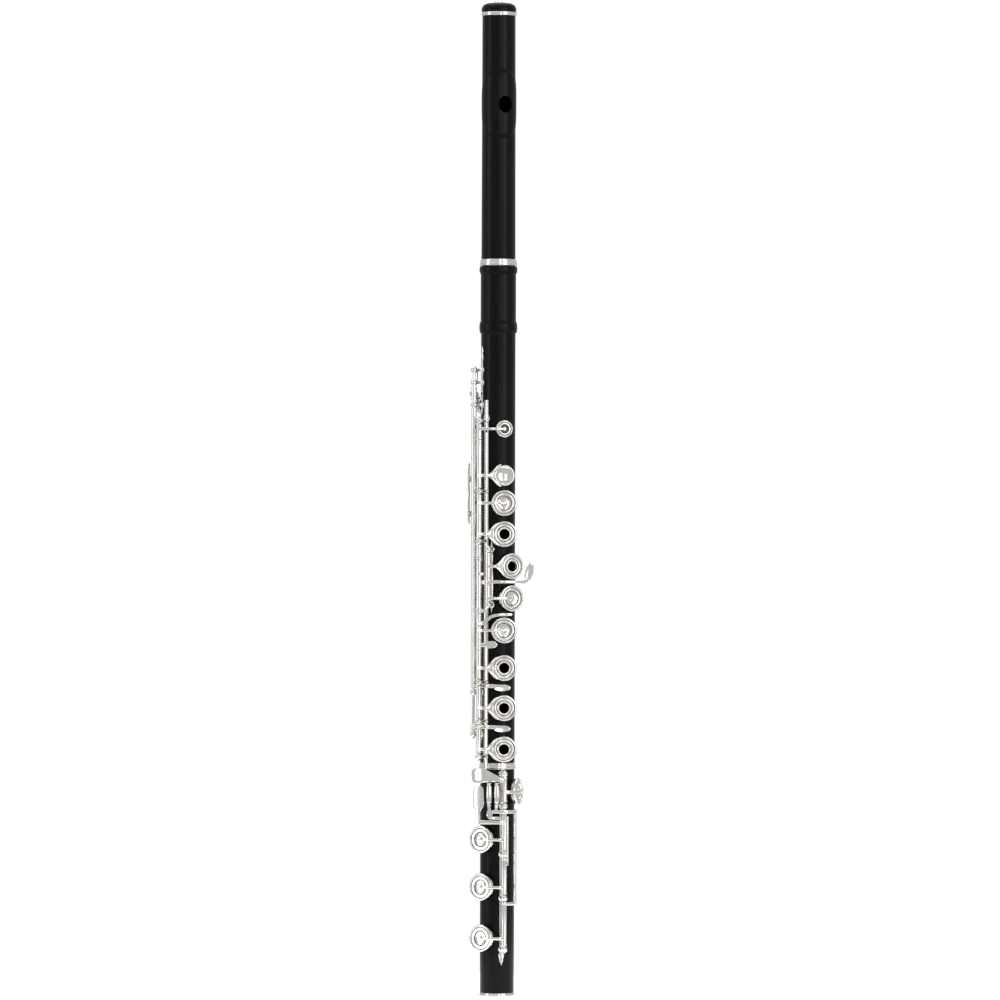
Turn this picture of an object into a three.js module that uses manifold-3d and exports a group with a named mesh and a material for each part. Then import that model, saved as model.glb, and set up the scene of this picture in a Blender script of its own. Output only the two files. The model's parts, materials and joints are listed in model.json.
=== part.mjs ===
// A wooden Boehm flute with silver keywork and a B foot, standing on its foot end.
// Millimetres, +Z up along the bore, origin at the centre of the lower end face.
// An angle is measured round the bore from -Y (the front) towards +X.
import * as THREE from 'three';
import { mergeVertices } from 'three/addons/utils/BufferGeometryUtils.js';
import Module from 'manifold-3d';

const wasm = await Module();
wasm.setup();

// Driving dimensions
const BORE_R = 9.5;
const BODY_R = 12.4;
const FOOT_R = 12.25;
const HEAD_R_TOP = 11.9;
const HEAD_R_LOW = 12.25;
const BEAD_R = 13.7;
const RING_R = 13.0;
const HEAD_TOP_Z = 706.8;
const HEAD_LOW_Z = 532.2;
const BODY_TOP_Z = 527.0;
const BODY_LOW_Z = 169.6;
const FOOT_TOP_Z = 164.9;
const ROD_R = 21;          // rod axis to bore axis
const TUBE_R = 2.0;        // key tube
const TUBE_HOLE_R = 1.25;
const STEEL_R = 0.95;
const SEAT_H = 12.6;       // tone-hole seat plane above the bore axis
const CUP_ANGLE = 17;
const ROD_ANGLE = -40;
const G_CUP_ANGLE = 36;
const G_ROD_ANGLE = -19.5;
const TRILL_ANGLE = -60;
const TRILL_R = 20;
const THUMB_ANGLE = -95;
const THUMB_ROD_R = 17.2;
const THUMB_CUP_ANGLE = -160;
const REAR_CUP_ANGLE = -130;
const FOOT_ROD_ANGLE = 14;
const FOOT_CUP_ANGLE = -43;
const FOOT_SIDE_ANGLE = 71;
const OPEN_DEG = 7;
const TUBE_SEGMENTS = 26;
const CUP_SEGMENTS = 14;

const BODY_CUPS = {
  a_sharp: { z: 356.4, radius: 9.35, open: false },
  a: { z: 334.1, radius: 9.35, open: true },
  f_sharp: { z: 265.0, radius: 9.35, open: false },
  f: { z: 238.0, radius: 9.35, open: true },
  e: { z: 209.2, radius: 9.35, open: true },
  d: { z: 179.6, radius: 9.35, open: true },
};

const rad = (deg) => deg * Math.PI / 180;
const polar = (deg, r) => [r * Math.sin(rad(deg)), -r * Math.cos(rad(deg))];

const WOOD = { color: 0x1d1a19, roughness: 0.45, metalness: 0 };
const SILVER = { color: 0xd9d5cd, roughness: 0.22, metalness: 1 };
const STEEL = { color: 0x9c9fa3, roughness: 0.3, metalness: 1 };
const PAD = { color: 0xe7d6b0, roughness: 0.8, metalness: 0 };
const CORK = { color: 0xb98a58, roughness: 0.9, metalness: 0 };

// Closed solids
function solid(geometry) {
  const bare = geometry.index ? geometry.toNonIndexed() : geometry.clone();
  bare.deleteAttribute('normal');
  bare.deleteAttribute('uv');
  const merged = mergeVertices(bare, 1e-4);
  const p = merged.attributes.position.array;
  const index = merged.index.array;
  let kept = [];
  let volume = 0;
  for (let i = 0; i < index.length; i += 3) {
    const [a, b, c] = [index[i], index[i + 1], index[i + 2]];
    if (a === b || b === c || a === c) continue;
    kept.push(a, b, c);
    const [u, v, w] = [a, b, c].map((k) => new THREE.Vector3(p[3 * k], p[3 * k + 1], p[3 * k + 2]));
    volume += u.dot(v.cross(w));
  }
  if (volume < 0) {
    const flipped = [];
    for (let i = 0; i < kept.length; i += 3) flipped.push(kept[i], kept[i + 2], kept[i + 1]);
    kept = flipped;
  }
  const mesh = new wasm.Mesh({
    numProp: 3,
    vertProperties: Float32Array.from(p),
    triVerts: Uint32Array.from(kept),
  });
  return new wasm.Manifold(mesh);
}

const union = (list) => list.reduce((sum, next) => sum.add(next));
const without = (body, list) => list.reduce((left, next) => left.subtract(next), body);

function lathe(profile, segments = TUBE_SEGMENTS) {
  const points = profile.map(([r, z]) => new THREE.Vector2(r, z));
  const geometry = new THREE.LatheGeometry(points, segments);
  geometry.rotateX(Math.PI / 2);
  return solid(geometry);
}

const cylinder = (r, z0, z1, segments = 12) =>
  lathe([[0, z0], [r, z0], [r, z1], [0, z1]], segments);

const sleeve = (inner, outer, z0, z1, segments = TUBE_SEGMENTS) =>
  lathe([[inner, z0], [outer, z0], [outer, z1], [inner, z1], [inner, z0]], segments);

// A lathe whose axis points out of the bore at an angle; heights are from the bore axis.
function radialLathe(profile, deg, z, segments = CUP_SEGMENTS) {
  return lathe(profile, segments).rotate([90, 0, 0]).rotate([0, 0, deg]).translate([0, 0, z]);
}

const radialCylinder = (r, h0, h1, deg, z, segments = CUP_SEGMENTS) =>
  radialLathe([[0, h0], [r, h0], [r, h1], [0, h1]], deg, z, segments);

const at = (m, [x, y]) => m.translate([x, y, 0]);

function spin(m, deg, [x, y]) {
  return m.translate([-x, -y, 0]).rotate([0, 0, deg]).translate([x, y, 0]);
}

// Joins sections of equal length, closing both ends with a fan from one corner.
function loft(sections, hub = 0) {
  const n = sections[0].length;
  const positions = sections.flat(2);
  const index = [];
  for (let s = 0; s < sections.length - 1; s++) {
    for (let i = 0; i < n; i++) {
      const a = s * n + i;
      const b = s * n + (i + 1) % n;
      index.push(a, b, a + n, b, b + n, a + n);
    }
  }
  const last = (sections.length - 1) * n;
  for (let k = 1; k < n - 1; k++) {
    const i = (hub + k) % n;
    const j = (hub + k + 1) % n;
    index.push(hub, j, i, last + hub, last + i, last + j);
  }
  const geometry = new THREE.BufferGeometry();
  geometry.setAttribute('position', new THREE.Float32BufferAttribute(positions, 3));
  geometry.setIndex(index);
  return solid(geometry);
}

// A bar through stations [x, y, z, half width, half thickness], its thickness facing out of the bore.
function bar(stations) {
  const at3 = (s) => new THREE.Vector3(s[0], s[1], s[2]);
  const sections = stations.map((s, i) => {
    const before = at3(stations[Math.max(i - 1, 0)]);
    const after = at3(stations[Math.min(i + 1, stations.length - 1)]);
    const along = after.sub(before).normalize();
    const out = new THREE.Vector3(s[0], s[1], 0).normalize();
    const side = new THREE.Vector3().crossVectors(along, out).normalize();
    const face = new THREE.Vector3().crossVectors(side, along).normalize();
    const corner = (w, t) => at3(s).addScaledVector(side, w * s[3]).addScaledVector(face, t * s[4]);
    return [[1, 1], [-1, 1], [-1, -1], [1, -1]].map(([w, t]) => corner(w, t).toArray());
  });
  return loft(sections);
}

// A bar lying flat in the plane across the bore, stations [x, y, half width in z, half thickness].
function rib2(stations, z) {
  const sections = stations.map((s, i) => {
    const before = stations[Math.max(i - 1, 0)];
    const after = stations[Math.min(i + 1, stations.length - 1)];
    const length = Math.hypot(after[0] - before[0], after[1] - before[1]);
    const nx = -(after[1] - before[1]) / length;
    const ny = (after[0] - before[0]) / length;
    const corner = (w, t) => [s[0] + nx * t * s[3], s[1] + ny * t * s[3], z + w * s[2]];
    return [corner(1, 1), corner(-1, 1), corner(-1, -1), corner(1, -1)];
  });
  return loft(sections);
}

// A strip hugging the tube: stations [z, half width], between two radii.
function strap(stations, inner, outer, deg) {
  const sections = stations.map(([z, half]) => {
    const a = half / inner * 180 / Math.PI;
    const ring = [[-a, inner], [0, inner], [a, inner], [a, outer], [0, outer], [-a, outer]];
    return ring.map(([d, r]) => [...polar(deg + d, r), z]);
  });
  return loft(sections, 4);
}

function oval(rx, rz, h0, h1, segments = 16) {
  const sections = [h0, h1].map((h) => Array.from({ length: segments }, (_, i) => {
    const t = 2 * Math.PI * i / segments;
    return [rx * Math.cos(t), -h, rz * Math.sin(t)];
  }));
  return loft(sections);
}

// Wood
function chimney(deg, z, outer = 8.2) {
  return radialCylinder(outer, 7, SEAT_H, deg, z, 12);
}

function toneHole(deg, z, r = 6.8) {
  return radialCylinder(r, 2, 15, deg, z, 10);
}

function bodyHoles() {
  const front = Object.values(BODY_CUPS).map((c) => [CUP_ANGLE, c.z, 8.2, 6.8]);
  return [
    ...front,
    [G_CUP_ANGLE, 311, 8.2, 6.8],
    [G_CUP_ANGLE, 288, 8.2, 6.8],
    [REAR_CUP_ANGLE, 290, 7.4, 6.0],
    [THUMB_CUP_ANGLE, 350, 7.0, 5.8],
    [THUMB_CUP_ANGLE, 370, 7.0, 5.8],
    [CUP_ANGLE, 376.2, 5.6, 3.4],
    [CUP_ANGLE, 409.7, 5.2, 3.6],
    [REAR_CUP_ANGLE, 427, 5.2, 3.6],
  ];
}

function bodyTube() {
  const outline = [
    [0, BODY_LOW_Z], [BODY_R, BODY_LOW_Z], [BODY_R, 478.0], [BEAD_R, 480.2],
    [BEAD_R, 485.0], [BODY_R + 0.3, 487.2], [BODY_R + 0.3, 521],
    [BEAD_R, 522.6], [BEAD_R, 525.6], [13, BODY_TOP_Z],
    [0, BODY_TOP_Z],
  ];
  const holes = bodyHoles();
  const wood = union([lathe(outline), ...holes.map(([deg, z, r]) => chimney(deg, z, r))]);
  return without(wood, [
    cylinder(BORE_R, 160, 530, 18),
    cylinder(11.45, 486, 530, 18),
    cylinder(10.9, 160, 172.6, 18),
    ...holes.map(([deg, z, , r]) => toneHole(deg, z, r)),
  ]);
}

function headTube() {
  const outline = [
    [0, HEAD_LOW_Z], [HEAD_R_LOW, HEAD_LOW_Z], [HEAD_R_TOP, HEAD_TOP_Z], [0, HEAD_TOP_Z],
  ];
  const wood = union([lathe(outline), lipPlate()]);
  const bore = lathe([[0, 520], [BORE_R, 520], [8.6, 720], [0, 720]], 18);
  const hole = oval(5.2, 6.1, 5, 16, 20).rotate([0, 0, 22]).translate([0, 0, 643]);
  return without(wood, [bore, cylinder(10.9, 520, 546, 18), hole]);
}

// The raised oval the lip rests on, wrapped round the head.
function lipPlate() {
  const half = 26;
  const reach = 100;
  const sections = [];
  for (let k = -5; k <= 5; k++) {
    const u = k / 5 * 0.985;
    const length = half * Math.sqrt(1 - u * u);
    const rise = 1.25 - 0.75 * u * u;
    const lean = 6;
    const ring = [[-1, -1], [1, -1], [1, 0.1], [0.8, 0.8], [-0.8, 0.8], [-1, 0.1]];
    sections.push(ring.map(([v, h]) => {
      const r = h < 0 ? 11 : HEAD_R_TOP + 0.15 + h * rise;
      return [...polar(lean + reach * u, r), 643.5 + length * v];
    }));
  }
  return loft(sections, 3);
}

function footTube() {
  const outline = [[0, 4.3], [FOOT_R, 4.3], [FOOT_R, FOOT_TOP_Z], [0, FOOT_TOP_Z]];
  const holes = [114.8, 80.6, 43.9].map((z) => [FOOT_CUP_ANGLE, z, 8.6, 7.2]);
  holes.push([FOOT_SIDE_ANGLE, 149, 7.9, 6.4]);
  const seats = holes.map(([deg, z, r]) => chimney(deg, z, r));
  return without(union([lathe(outline), ...seats]), [
    cylinder(BORE_R, 0, 170, 18),
    cylinder(11.3, 156.6, 170, 18),
    ...holes.map(([deg, z, , r]) => toneHole(deg, z, r)),
  ]);
}

// Ribs and posts
function post(deg, rodR, z, foot = 12.7) {
  const stem = [[0, foot], [1.7, foot], [1.7, foot + 1], [1.05, foot + 2], [1.05, rodR - 1.2], [0, rodR - 1.2]];
  const ball = solid(new THREE.SphereGeometry(2.35, 7, 4));
  const [x, y] = polar(deg, rodR);
  return radialLathe(stem, deg, z, 6).add(ball.translate([x, y, z]));
}

function ribWithPosts({ deg, rodR, half, z0, z1, posts, inner = BODY_R + 0.15 }) {
  const ends = [[z0, 0.25], [z0 + 3 * half, half], [z1 - 3 * half, half], [z1, 0.25]];
  const strip = strap(ends, inner, inner + 1.05, deg);
  const whole = union([strip, ...posts.map((z) => post(deg, rodR, z, inner + 0.2))]);
  const hole = at(cylinder(TUBE_HOLE_R, z0 - 20, z1 + 20, 6), polar(deg, rodR));
  return whole.subtract(hole);
}

// Keys
function cup(deg, z, radius, open) {
  const r = radius;
  const rim = [[r - 0.65, 15.3], [r - 0.65, 13.7], [r, 13.7], [r, 16.0], [r - 0.8, 16.8]];
  if (!open) return radialLathe([[0, 15.3], ...rim, [0, 16.9]], deg, z);
  const ring = [[3.6, 15.3], ...rim, [5.2, 16.6], [4.9, 17.1], [3.6, 17.1], [3.6, 15.3]];
  return radialLathe(ring, deg, z);
}

function pad(deg, z, radius, open) {
  const r = radius - 0.9;
  if (!open) return radialLathe([[0, 12.95], [r, 12.95], [r, 15.0], [0, 15.0]], deg, z);
  const ring = [[4.2, 12.95], [r, 12.95], [r, 15.0], [4.2, 15.0], [4.2, 12.95]];
  return radialLathe(ring, deg, z);
}

// An arm from the rod to a cup, worked out with the cup facing the front.
function arm(rodDeg, rodR, cupDeg, z, radius, style) {
  const [xr, yr] = polar(rodDeg - cupDeg, rodR);
  const s = Math.sign(xr);
  const start = [[xr, yr - 1.4, 1.5, 0.6], [xr - s * 3, yr - 4.1, 1.3, 0.7]];
  const pointed = [[s * 9, -17.2, 1.3, 0.7], [s * 4, -17.5, 1.1, 0.7], [s * -1.2, -17.4, 0.8, 0.6]];
  const forked = [[s * (radius + 0.4), -16.3, 3.4, 0.8], [s * (radius - 3.2), -16.4, 6.6, 0.5]];
  return rib2([...start, ...(style === 'pointed' ? pointed : forked)], z).rotate([0, 0, cupDeg]);
}

function rodTube(z0, z1, deg, rodR) {
  return at(cylinder(TUBE_R, z0, z1, 8), polar(deg, rodR));
}

function finish(pieces, deg, rodR, rest, z0, z1) {
  const hole = at(cylinder(TUBE_HOLE_R, z0 - 5, z1 + 5, 6), polar(deg, rodR));
  return spin(union(pieces).subtract(hole), rest, polar(deg, rodR));
}

function bodyKey(name, tube, style, extras = []) {
  const { z, radius, open } = BODY_CUPS[name];
  const pieces = [
    cup(CUP_ANGLE, z, radius, open),
    arm(ROD_ANGLE, ROD_R, CUP_ANGLE, z, radius, style),
    rodTube(...tube, ROD_ANGLE, ROD_R),
    ...extras,
  ];
  return finish(pieces, ROD_ANGLE, ROD_R, -OPEN_DEG, ...tube);
}

function bodyPad(name) {
  const { z, radius, open } = BODY_CUPS[name];
  return spin(pad(CUP_ANGLE, z, radius, open), -OPEN_DEG, polar(ROD_ANGLE, ROD_R));
}

function collar(z0, z1, deg, rodR) {
  return at(cylinder(2.6, z0, z1, 10), polar(deg, rodR));
}

function cSharpKey() {
  const r = 7.5;
  const dish = [
    [0, 14.9], [r - 1.2, 14.9], [r, 15.6], [r, 16.6], [r - 0.8, 17.0], [r - 2.2, 16.2], [0, 15.9],
  ];
  const button = [[0, 12.9], [4.9, 12.9], [4.9, 15.2], [0, 15.2]];
  const pieces = [
    radialLathe(dish, CUP_ANGLE, 376.2),
    radialLathe(button, CUP_ANGLE, 376.2, 16),
    arm(ROD_ANGLE, ROD_R, CUP_ANGLE, 376.2, r, 'forked'),
    rodTube(367.4, 401.6, ROD_ANGLE, ROD_R),
  ];
  return finish(pieces, ROD_ANGLE, ROD_R, -OPEN_DEG, 367.4, 401.6);
}

function gKey(z, style, open, tube) {
  const pieces = [
    cup(G_CUP_ANGLE, z, 9.35, open),
    arm(G_ROD_ANGLE, ROD_R, G_CUP_ANGLE, z, 9.35, style),
    rodTube(...tube, G_ROD_ANGLE, ROD_R),
  ];
  return finish(pieces, G_ROD_ANGLE, ROD_R, -OPEN_DEG, ...tube);
}

const gPad = (z, open) =>
  spin(pad(G_CUP_ANGLE, z, 9.35, open), -OPEN_DEG, polar(G_ROD_ANGLE, ROD_R));

function smallCup(deg, z, radius) {
  const profile = [[0, 12.95], [radius - 0.3, 12.95], [radius, 13.5], [radius, 15.6], [radius - 0.7, 16.7], [0, 17.0]];
  return radialLathe(profile, deg, z, 12);
}

function gSharpKey() {
  const lever = bar([
    [...polar(-10, 22.2), 299.9, 1.5, 0.8], [...polar(8, 22.6), 299.9, 1.2, 0.8],
    [...polar(32, 22.8), 299.9, 1.1, 0.8], [...polar(54, 23.2), 299.9, 1.1, 0.8],
    [...polar(63, 23.8), 301.2, 1.3, 0.7], [...polar(65, 24.2), 303.4, 1.5, 0.6],
  ]);
  const paddle = oval(2.9, 6.9, -0.65, 0.65, 14).rotate([0, -14, 0]).translate([22.6, -10.6, 306.9]);
  const root = rib2([[...polar(G_ROD_ANGLE, 22.4), 1.5, 0.8], [...polar(-9, 22.2), 1.5, 0.8]], 299.9);
  const arc = [-30, -42, -54, -66, -78, -90, -102, -112].map((deg) => [...polar(deg, 15.6), 1.5, 0.65]);
  const under = rib2([
    [...polar(-21, 19.4), 1.5, 0.7], [...polar(-25, 17.2), 1.5, 0.7], ...arc,
    [...polar(-120, 16.7), 1.6, 0.7], [...polar(-132, 16.8), 1.2, 0.7],
  ], 299.5);
  const drop = bar([[...polar(-118, 16.9), 300.5, 1.6, 0.6], [...polar(REAR_CUP_ANGLE, 16.7), 291, 2, 0.6]]);
  const pieces = [
    rodTube(297.4, 302.4, G_ROD_ANGLE, ROD_R), root, lever, paddle, under, drop,
    smallCup(REAR_CUP_ANGLE, 290, 8.2),
  ];
  return finish(pieces, G_ROD_ANGLE, ROD_R, 0, 297.4, 302.4);
}

function splitELever() {
  const [x, y] = polar(ROD_ANGLE, ROD_R);
  const finger = bar([
    [x, y - 1.6, 269.8, 1.6, 0.6], [x + 3.2, y - 3.6, 270.4, 1.5, 0.6], [-5, -20.9, 274.6, 1.1, 0.6],
    [0, -21.2, 276.2, 1.0, 0.6], [6, -20.4, 276.5, 1.0, 0.6], [10.4, -19.2, 276.5, 0.9, 0.6],
  ]);
  const pieces = [rodTube(268.2, 276.4, ROD_ANGLE, ROD_R), finger];
  return finish(pieces, ROD_ANGLE, ROD_R, 0, 268.2, 276.4);
}

function bFlatLever() {
  const [x, y] = polar(ROD_ANGLE, ROD_R);
  const lug = (z) => rib2([[x + 1.4, y, 1.4, 0.9], [x + 5.6, y - 0.2, 1.2, 0.7]], z);
  const bridge = bar([[x + 4.8, y - 0.2, 253.6, 0.9, 0.7], [x + 4.8, y - 0.2, 280, 0.9, 0.7]]);
  const arms = rib2([[x, y - 1.5, 1.6, 0.6], [x + 4, y - 3.4, 1.6, 0.6], [-4, -20.6, 1.8, 0.6]], 254.6);
  const touch = oval(5, 2.7, -0.6, 0.6).rotate([0, 0, -14]).translate([-5, -20.6, 254.8]);
  const tab = rib2([[x, y - 1.4, 1.1, 0.6], [x + 3.2, y - 3.9, 1.1, 0.6]], 305.5);
  const pieces = [
    rodTube(250.6, 257.9, ROD_ANGLE, ROD_R), rodTube(277, 326.2, ROD_ANGLE, ROD_R), lug(254.4), lug(279),
    bridge, arms, touch, tab, collar(314.8, 318.6, ROD_ANGLE, ROD_R),
  ];
  return finish(pieces, ROD_ANGLE, ROD_R, 0, 250.6, 326.2);
}

const TRILL_ARM = [
  [-14.2, -11.0, 1.4, 0.7], [-11.0, -12.3, 1.4, 0.7], [-7.5, -14.6, 1.4, 0.7], [-3, -16.9, 1.6, 0.7],
  [2, -17.6, 1.6, 0.6],
];

function trillTouch(z, turn) {
  return oval(6.1, 2.5, 17.1, 18.3, 12).rotate([0, 0, turn]).translate([2.2, 0.1, z]);
}

function dTrillLever() {
  const axis = polar(TRILL_ANGLE, TRILL_R);
  const [mx, my] = polar(ROD_ANGLE, ROD_R);
  const [ux, uy] = [(mx - axis[0]) / 7.19, (my - axis[1]) / 7.19];
  const point = (d, off) => [axis[0] + ux * d + uy * off, axis[1] + uy * d - ux * off];
  const nose = rib2([[...point(1.6, 0.85), 1.4, 0.55], [...point(4.4, 0.85), 1.4, 0.55]], 408.4);
  const start = [axis[0] + 1.2, axis[1] + 0.2, 1.4, 0.7];
  const pieces = [
    rodTube(223.4, 424.2, TRILL_ANGLE, TRILL_R), nose, rib2([start, ...TRILL_ARM], 225), trillTouch(223.8, 4),
  ];
  return finish(pieces, TRILL_ANGLE, TRILL_R, 0, 223.4, 424.2);
}

function dTrillCup() {
  const axis = polar(TRILL_ANGLE, TRILL_R);
  const [mx, my] = polar(ROD_ANGLE, ROD_R);
  const [ux, uy] = [(mx - axis[0]) / 7.19, (my - axis[1]) / 7.19];
  const point = (d, off) => [axis[0] + ux * d + uy * off, axis[1] + uy * d - ux * off];
  const tail = rib2([[...point(5.6, -0.65), 1.4, 0.55], [...point(2.6, -0.65), 1.4, 0.55]], 408.4);
  const pieces = [
    rodTube(402.4, 412.6, ROD_ANGLE, ROD_R), tail, smallCup(CUP_ANGLE, 409.7, 6.3),
    arm(ROD_ANGLE, ROD_R, CUP_ANGLE, 409.7, 6.3, 'pointed'),
  ];
  return finish(pieces, ROD_ANGLE, ROD_R, 0, 402.4, 412.6);
}

function dSharpTrill() {
  const axis = polar(TRILL_ANGLE, TRILL_R);
  const hub = (z0, z1) => at(cylinder(TUBE_R, z0, z1, 8), axis);
  const cupArm = rib2([
    [axis[0] - 1, axis[1] + 1, 1.5, 0.7], [...polar(-75, 20.6), 1.5, 0.7], [...polar(-92, 18.6), 1.5, 0.7],
    [...polar(-108, 17.4), 1.6, 0.7], [...polar(-124, 17.0), 1.4, 0.7],
  ], 435);
  const drop = bar([[...polar(-118, 17.2), 436, 1.5, 0.6], [...polar(REAR_CUP_ANGLE, 16.6), 428, 1.6, 0.6]]);
  const start = [axis[0] + 1.2, axis[1] + 0.2, 1.4, 0.7];
  return union([
    at(cylinder(STEEL_R, 187.2, 454.6, 6), axis), hub(193.1, 198), hub(430.2, 439.8), cupArm, drop,
    smallCup(REAR_CUP_ANGLE, 427, 6.3), rib2([start, ...TRILL_ARM], 195.6), trillTouch(194.4, 4),
  ]);
}

function thumbKey(cupZ, tube, touchZ0, touchZ1) {
  const [x, y] = polar(THUMB_ANGLE, THUMB_ROD_R);
  const mid = (tube[0] + tube[1]) / 2;
  const link = rib2([[x - 1.2, y + 0.8, 1.8, 0.6], [x - 3.2, y + 3.6, 2.2, 0.6]], mid);
  const plate = bar([
    [-20.2, 5.2, touchZ0, 2.2, 0.6], [-20.4, 5.4, touchZ0 + 2, 3.1, 0.6],
    [-20.4, 5.4, touchZ1 - 2, 3.1, 0.6], [-20.2, 5.2, touchZ1, 2.2, 0.6],
  ]);
  const pieces = [
    rodTube(...tube, THUMB_ANGLE, THUMB_ROD_R), link, plate, cup(THUMB_CUP_ANGLE, cupZ, 8.3, false),
    arm(THUMB_ANGLE, THUMB_ROD_R, THUMB_CUP_ANGLE, cupZ, 8.3, 'pointed'),
  ];
  return finish(pieces, THUMB_ANGLE, THUMB_ROD_R, OPEN_DEG, ...tube);
}

// Foot keys
function footKey(z, tube, extras = []) {
  const pieces = [
    cup(FOOT_CUP_ANGLE, z, 9.75, false), arm(FOOT_ROD_ANGLE, ROD_R, FOOT_CUP_ANGLE, z, 9.75, 'pointed'),
    rodTube(...tube, FOOT_ROD_ANGLE, ROD_R), ...extras,
  ];
  return finish(pieces, FOOT_ROD_ANGLE, ROD_R, OPEN_DEG, ...tube);
}

const footPad = (z) =>
  spin(pad(FOOT_CUP_ANGLE, z, 9.75, false), OPEN_DEG, polar(FOOT_ROD_ANGLE, ROD_R));

function footDSharpKey() {
  const [x, y] = polar(FOOT_ROD_ANGLE, ROD_R);
  const fan = bar([
    [x - 1, y - 1.4, 157.2, 1.4, 0.6], [x - 4.2, y - 2.0, 158.2, 1.8, 0.6], [-9, -20.4, 160.6, 4.7, 0.6],
    [-15.6, -16.4, 160.6, 5.3, 0.6], [-17.8, -14.4, 160.4, 3.6, 0.6],
  ]);
  const pieces = [
    rodTube(141.7, 160.1, FOOT_ROD_ANGLE, ROD_R), fan, cup(FOOT_SIDE_ANGLE, 149, 9.4, false),
    arm(FOOT_ROD_ANGLE, ROD_R, FOOT_SIDE_ANGLE, 149, 9.4, 'pointed'),
  ];
  return finish(pieces, FOOT_ROD_ANGLE, ROD_R, 0, 141.7, 160.1);
}

function footCSharpKey() {
  const [x, y] = polar(FOOT_ROD_ANGLE, ROD_R);
  const carry = rib2([[x, y - 1.5, 1.5, 0.6], [x - 4, y - 2.3, 1.4, 0.6], [-9.5, -19.6, 1.4, 0.6], [-13.2, -17.6, 1.6, 0.6]], 127.4);
  const plate = bar([
    [-13.0, -17.8, 126, 1.5, 0.6], [-13.2, -17.7, 136, 1.8, 0.6], [-13.2, -17.7, 139, 4.2, 0.6],
    [-13.2, -17.7, 151, 4.4, 0.6], [-13.2, -17.7, 153.4, 3.0, 0.6],
  ]);
  return footKey(114.8, [107, 136.4], [carry, plate]);
}

const ROLLER_C = [-6.0, -21.3];
const ROLLER_B = [-0.6, -22.6];
const ROLLER_Z = [141.2, 154];

// A cradle that carries a roller on a pin fixed at both ends.
function cradle([x, y]) {
  const cheek = (z) => rib2([[x - 1.4, y + 0.1, 0.45, 1.3], [x + 1.4, y - 0.1, 0.45, 1.3]], z);
  return [
    cheek(139.9), cheek(155.3), at(cylinder(0.55, 139.9, 155.3, 8), [x, y]),
    bar([[x, y + 3.0, 139.5, 1.2, 0.5], [x, y + 3.0, 155.7, 1.2, 0.5]]),
    rib2([[x, y, 0.45, 1.2], [x, y + 3.3, 0.45, 1.2]], 139.9),
    rib2([[x, y, 0.45, 1.2], [x, y + 3.3, 0.45, 1.2]], 155.3),
  ];
}

function roller([x, y]) {
  const [z0, z1] = ROLLER_Z;
  const outline = [
    [0.85, z0], [1.5, z0], [2.0, z0 + 2], [2.1, (z0 + z1) / 2], [2.0, z1 - 2], [1.5, z1], [0.85, z1], [0.85, z0],
  ];
  return spin(at(lathe(outline, 10), [x, y]), OPEN_DEG, polar(FOOT_ROD_ANGLE, ROD_R));
}

function footCKey() {
  const [x, y] = ROLLER_C;
  const run = bar([
    [...polar(27, 17.6), 96.2, 0.8, 0.8], [...polar(27, 17.6), 131.4, 0.8, 0.8],
  ]);
  const low = rib2([[...polar(15.5, 19.9), 1.2, 0.7], [...polar(28, 17.4), 1.2, 0.7]], 97.6);
  const high = rib2([
    [...polar(28, 17.5), 1.1, 0.7], [...polar(20, 16.9), 1.1, 0.7], [...polar(8, 16.4), 1.1, 0.7],
    [...polar(-6, 16.8), 1.1, 0.7], [...polar(-14, 17.7), 1.1, 0.7],
  ], 130.2);
  const riser = bar([[x + 1.6, y + 4.0, 129.2, 1.1, 0.6], [x, y + 3.0, 140.4, 1.1, 0.5]]);
  return footKey(80.6, [75.4, 101.8], [run, low, high, riser, ...cradle(ROLLER_C)]);
}

function footBKey() {
  const [x, y] = ROLLER_B;
  const run = bar([
    [...polar(41, 20.4), 68.4, 0.9, 1.0], [...polar(41, 20.4), 136.2, 0.9, 1.0],
  ]);
  const low = rib2([[...polar(19, 21), 1.2, 0.8], [...polar(42, 20.4), 1.2, 0.8]], 68.8);
  const high = rib2([
    [...polar(42, 20.6), 1.2, 0.7], [...polar(30, 23.2), 1.2, 0.7], [...polar(16, 25), 1.2, 0.7],
    [...polar(4, 24), 1.2, 0.7], [...polar(-4, 22.6), 1.2, 0.7], [...polar(-9, 21.6), 1.2, 0.7],
  ], 135);
  const riser = bar([[x - 0.4, y + 0.9, 134.2, 1.1, 0.6], [x, y + 3.0, 140.4, 1.1, 0.5]]);
  const drop = oval(2.2, 3.4, -0.6, 0.6, 12).rotate([0, 0, -14]).translate([-5.6, -21.2, 133.4]);
  return footKey(43.9, [38.7, 70.1], [run, low, high, riser, drop, ...cradle(ROLLER_B)]);
}

const group = new THREE.Group();

function add(name, body, look) {
  const mesh = body.getMesh();
  const geometry = new THREE.BufferGeometry();
  geometry.setAttribute('position', new THREE.Float32BufferAttribute(mesh.vertProperties, 3));
  geometry.setIndex(new THREE.Uint32BufferAttribute(mesh.triVerts, 1));
  const made = new THREE.Mesh(geometry, new THREE.MeshStandardMaterial(look));
  made.name = name;
  group.add(made);
}

const steelRod = (deg, rodR, z0, z1) => at(cylinder(STEEL_R, z0, z1, 6), polar(deg, rodR));

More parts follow.
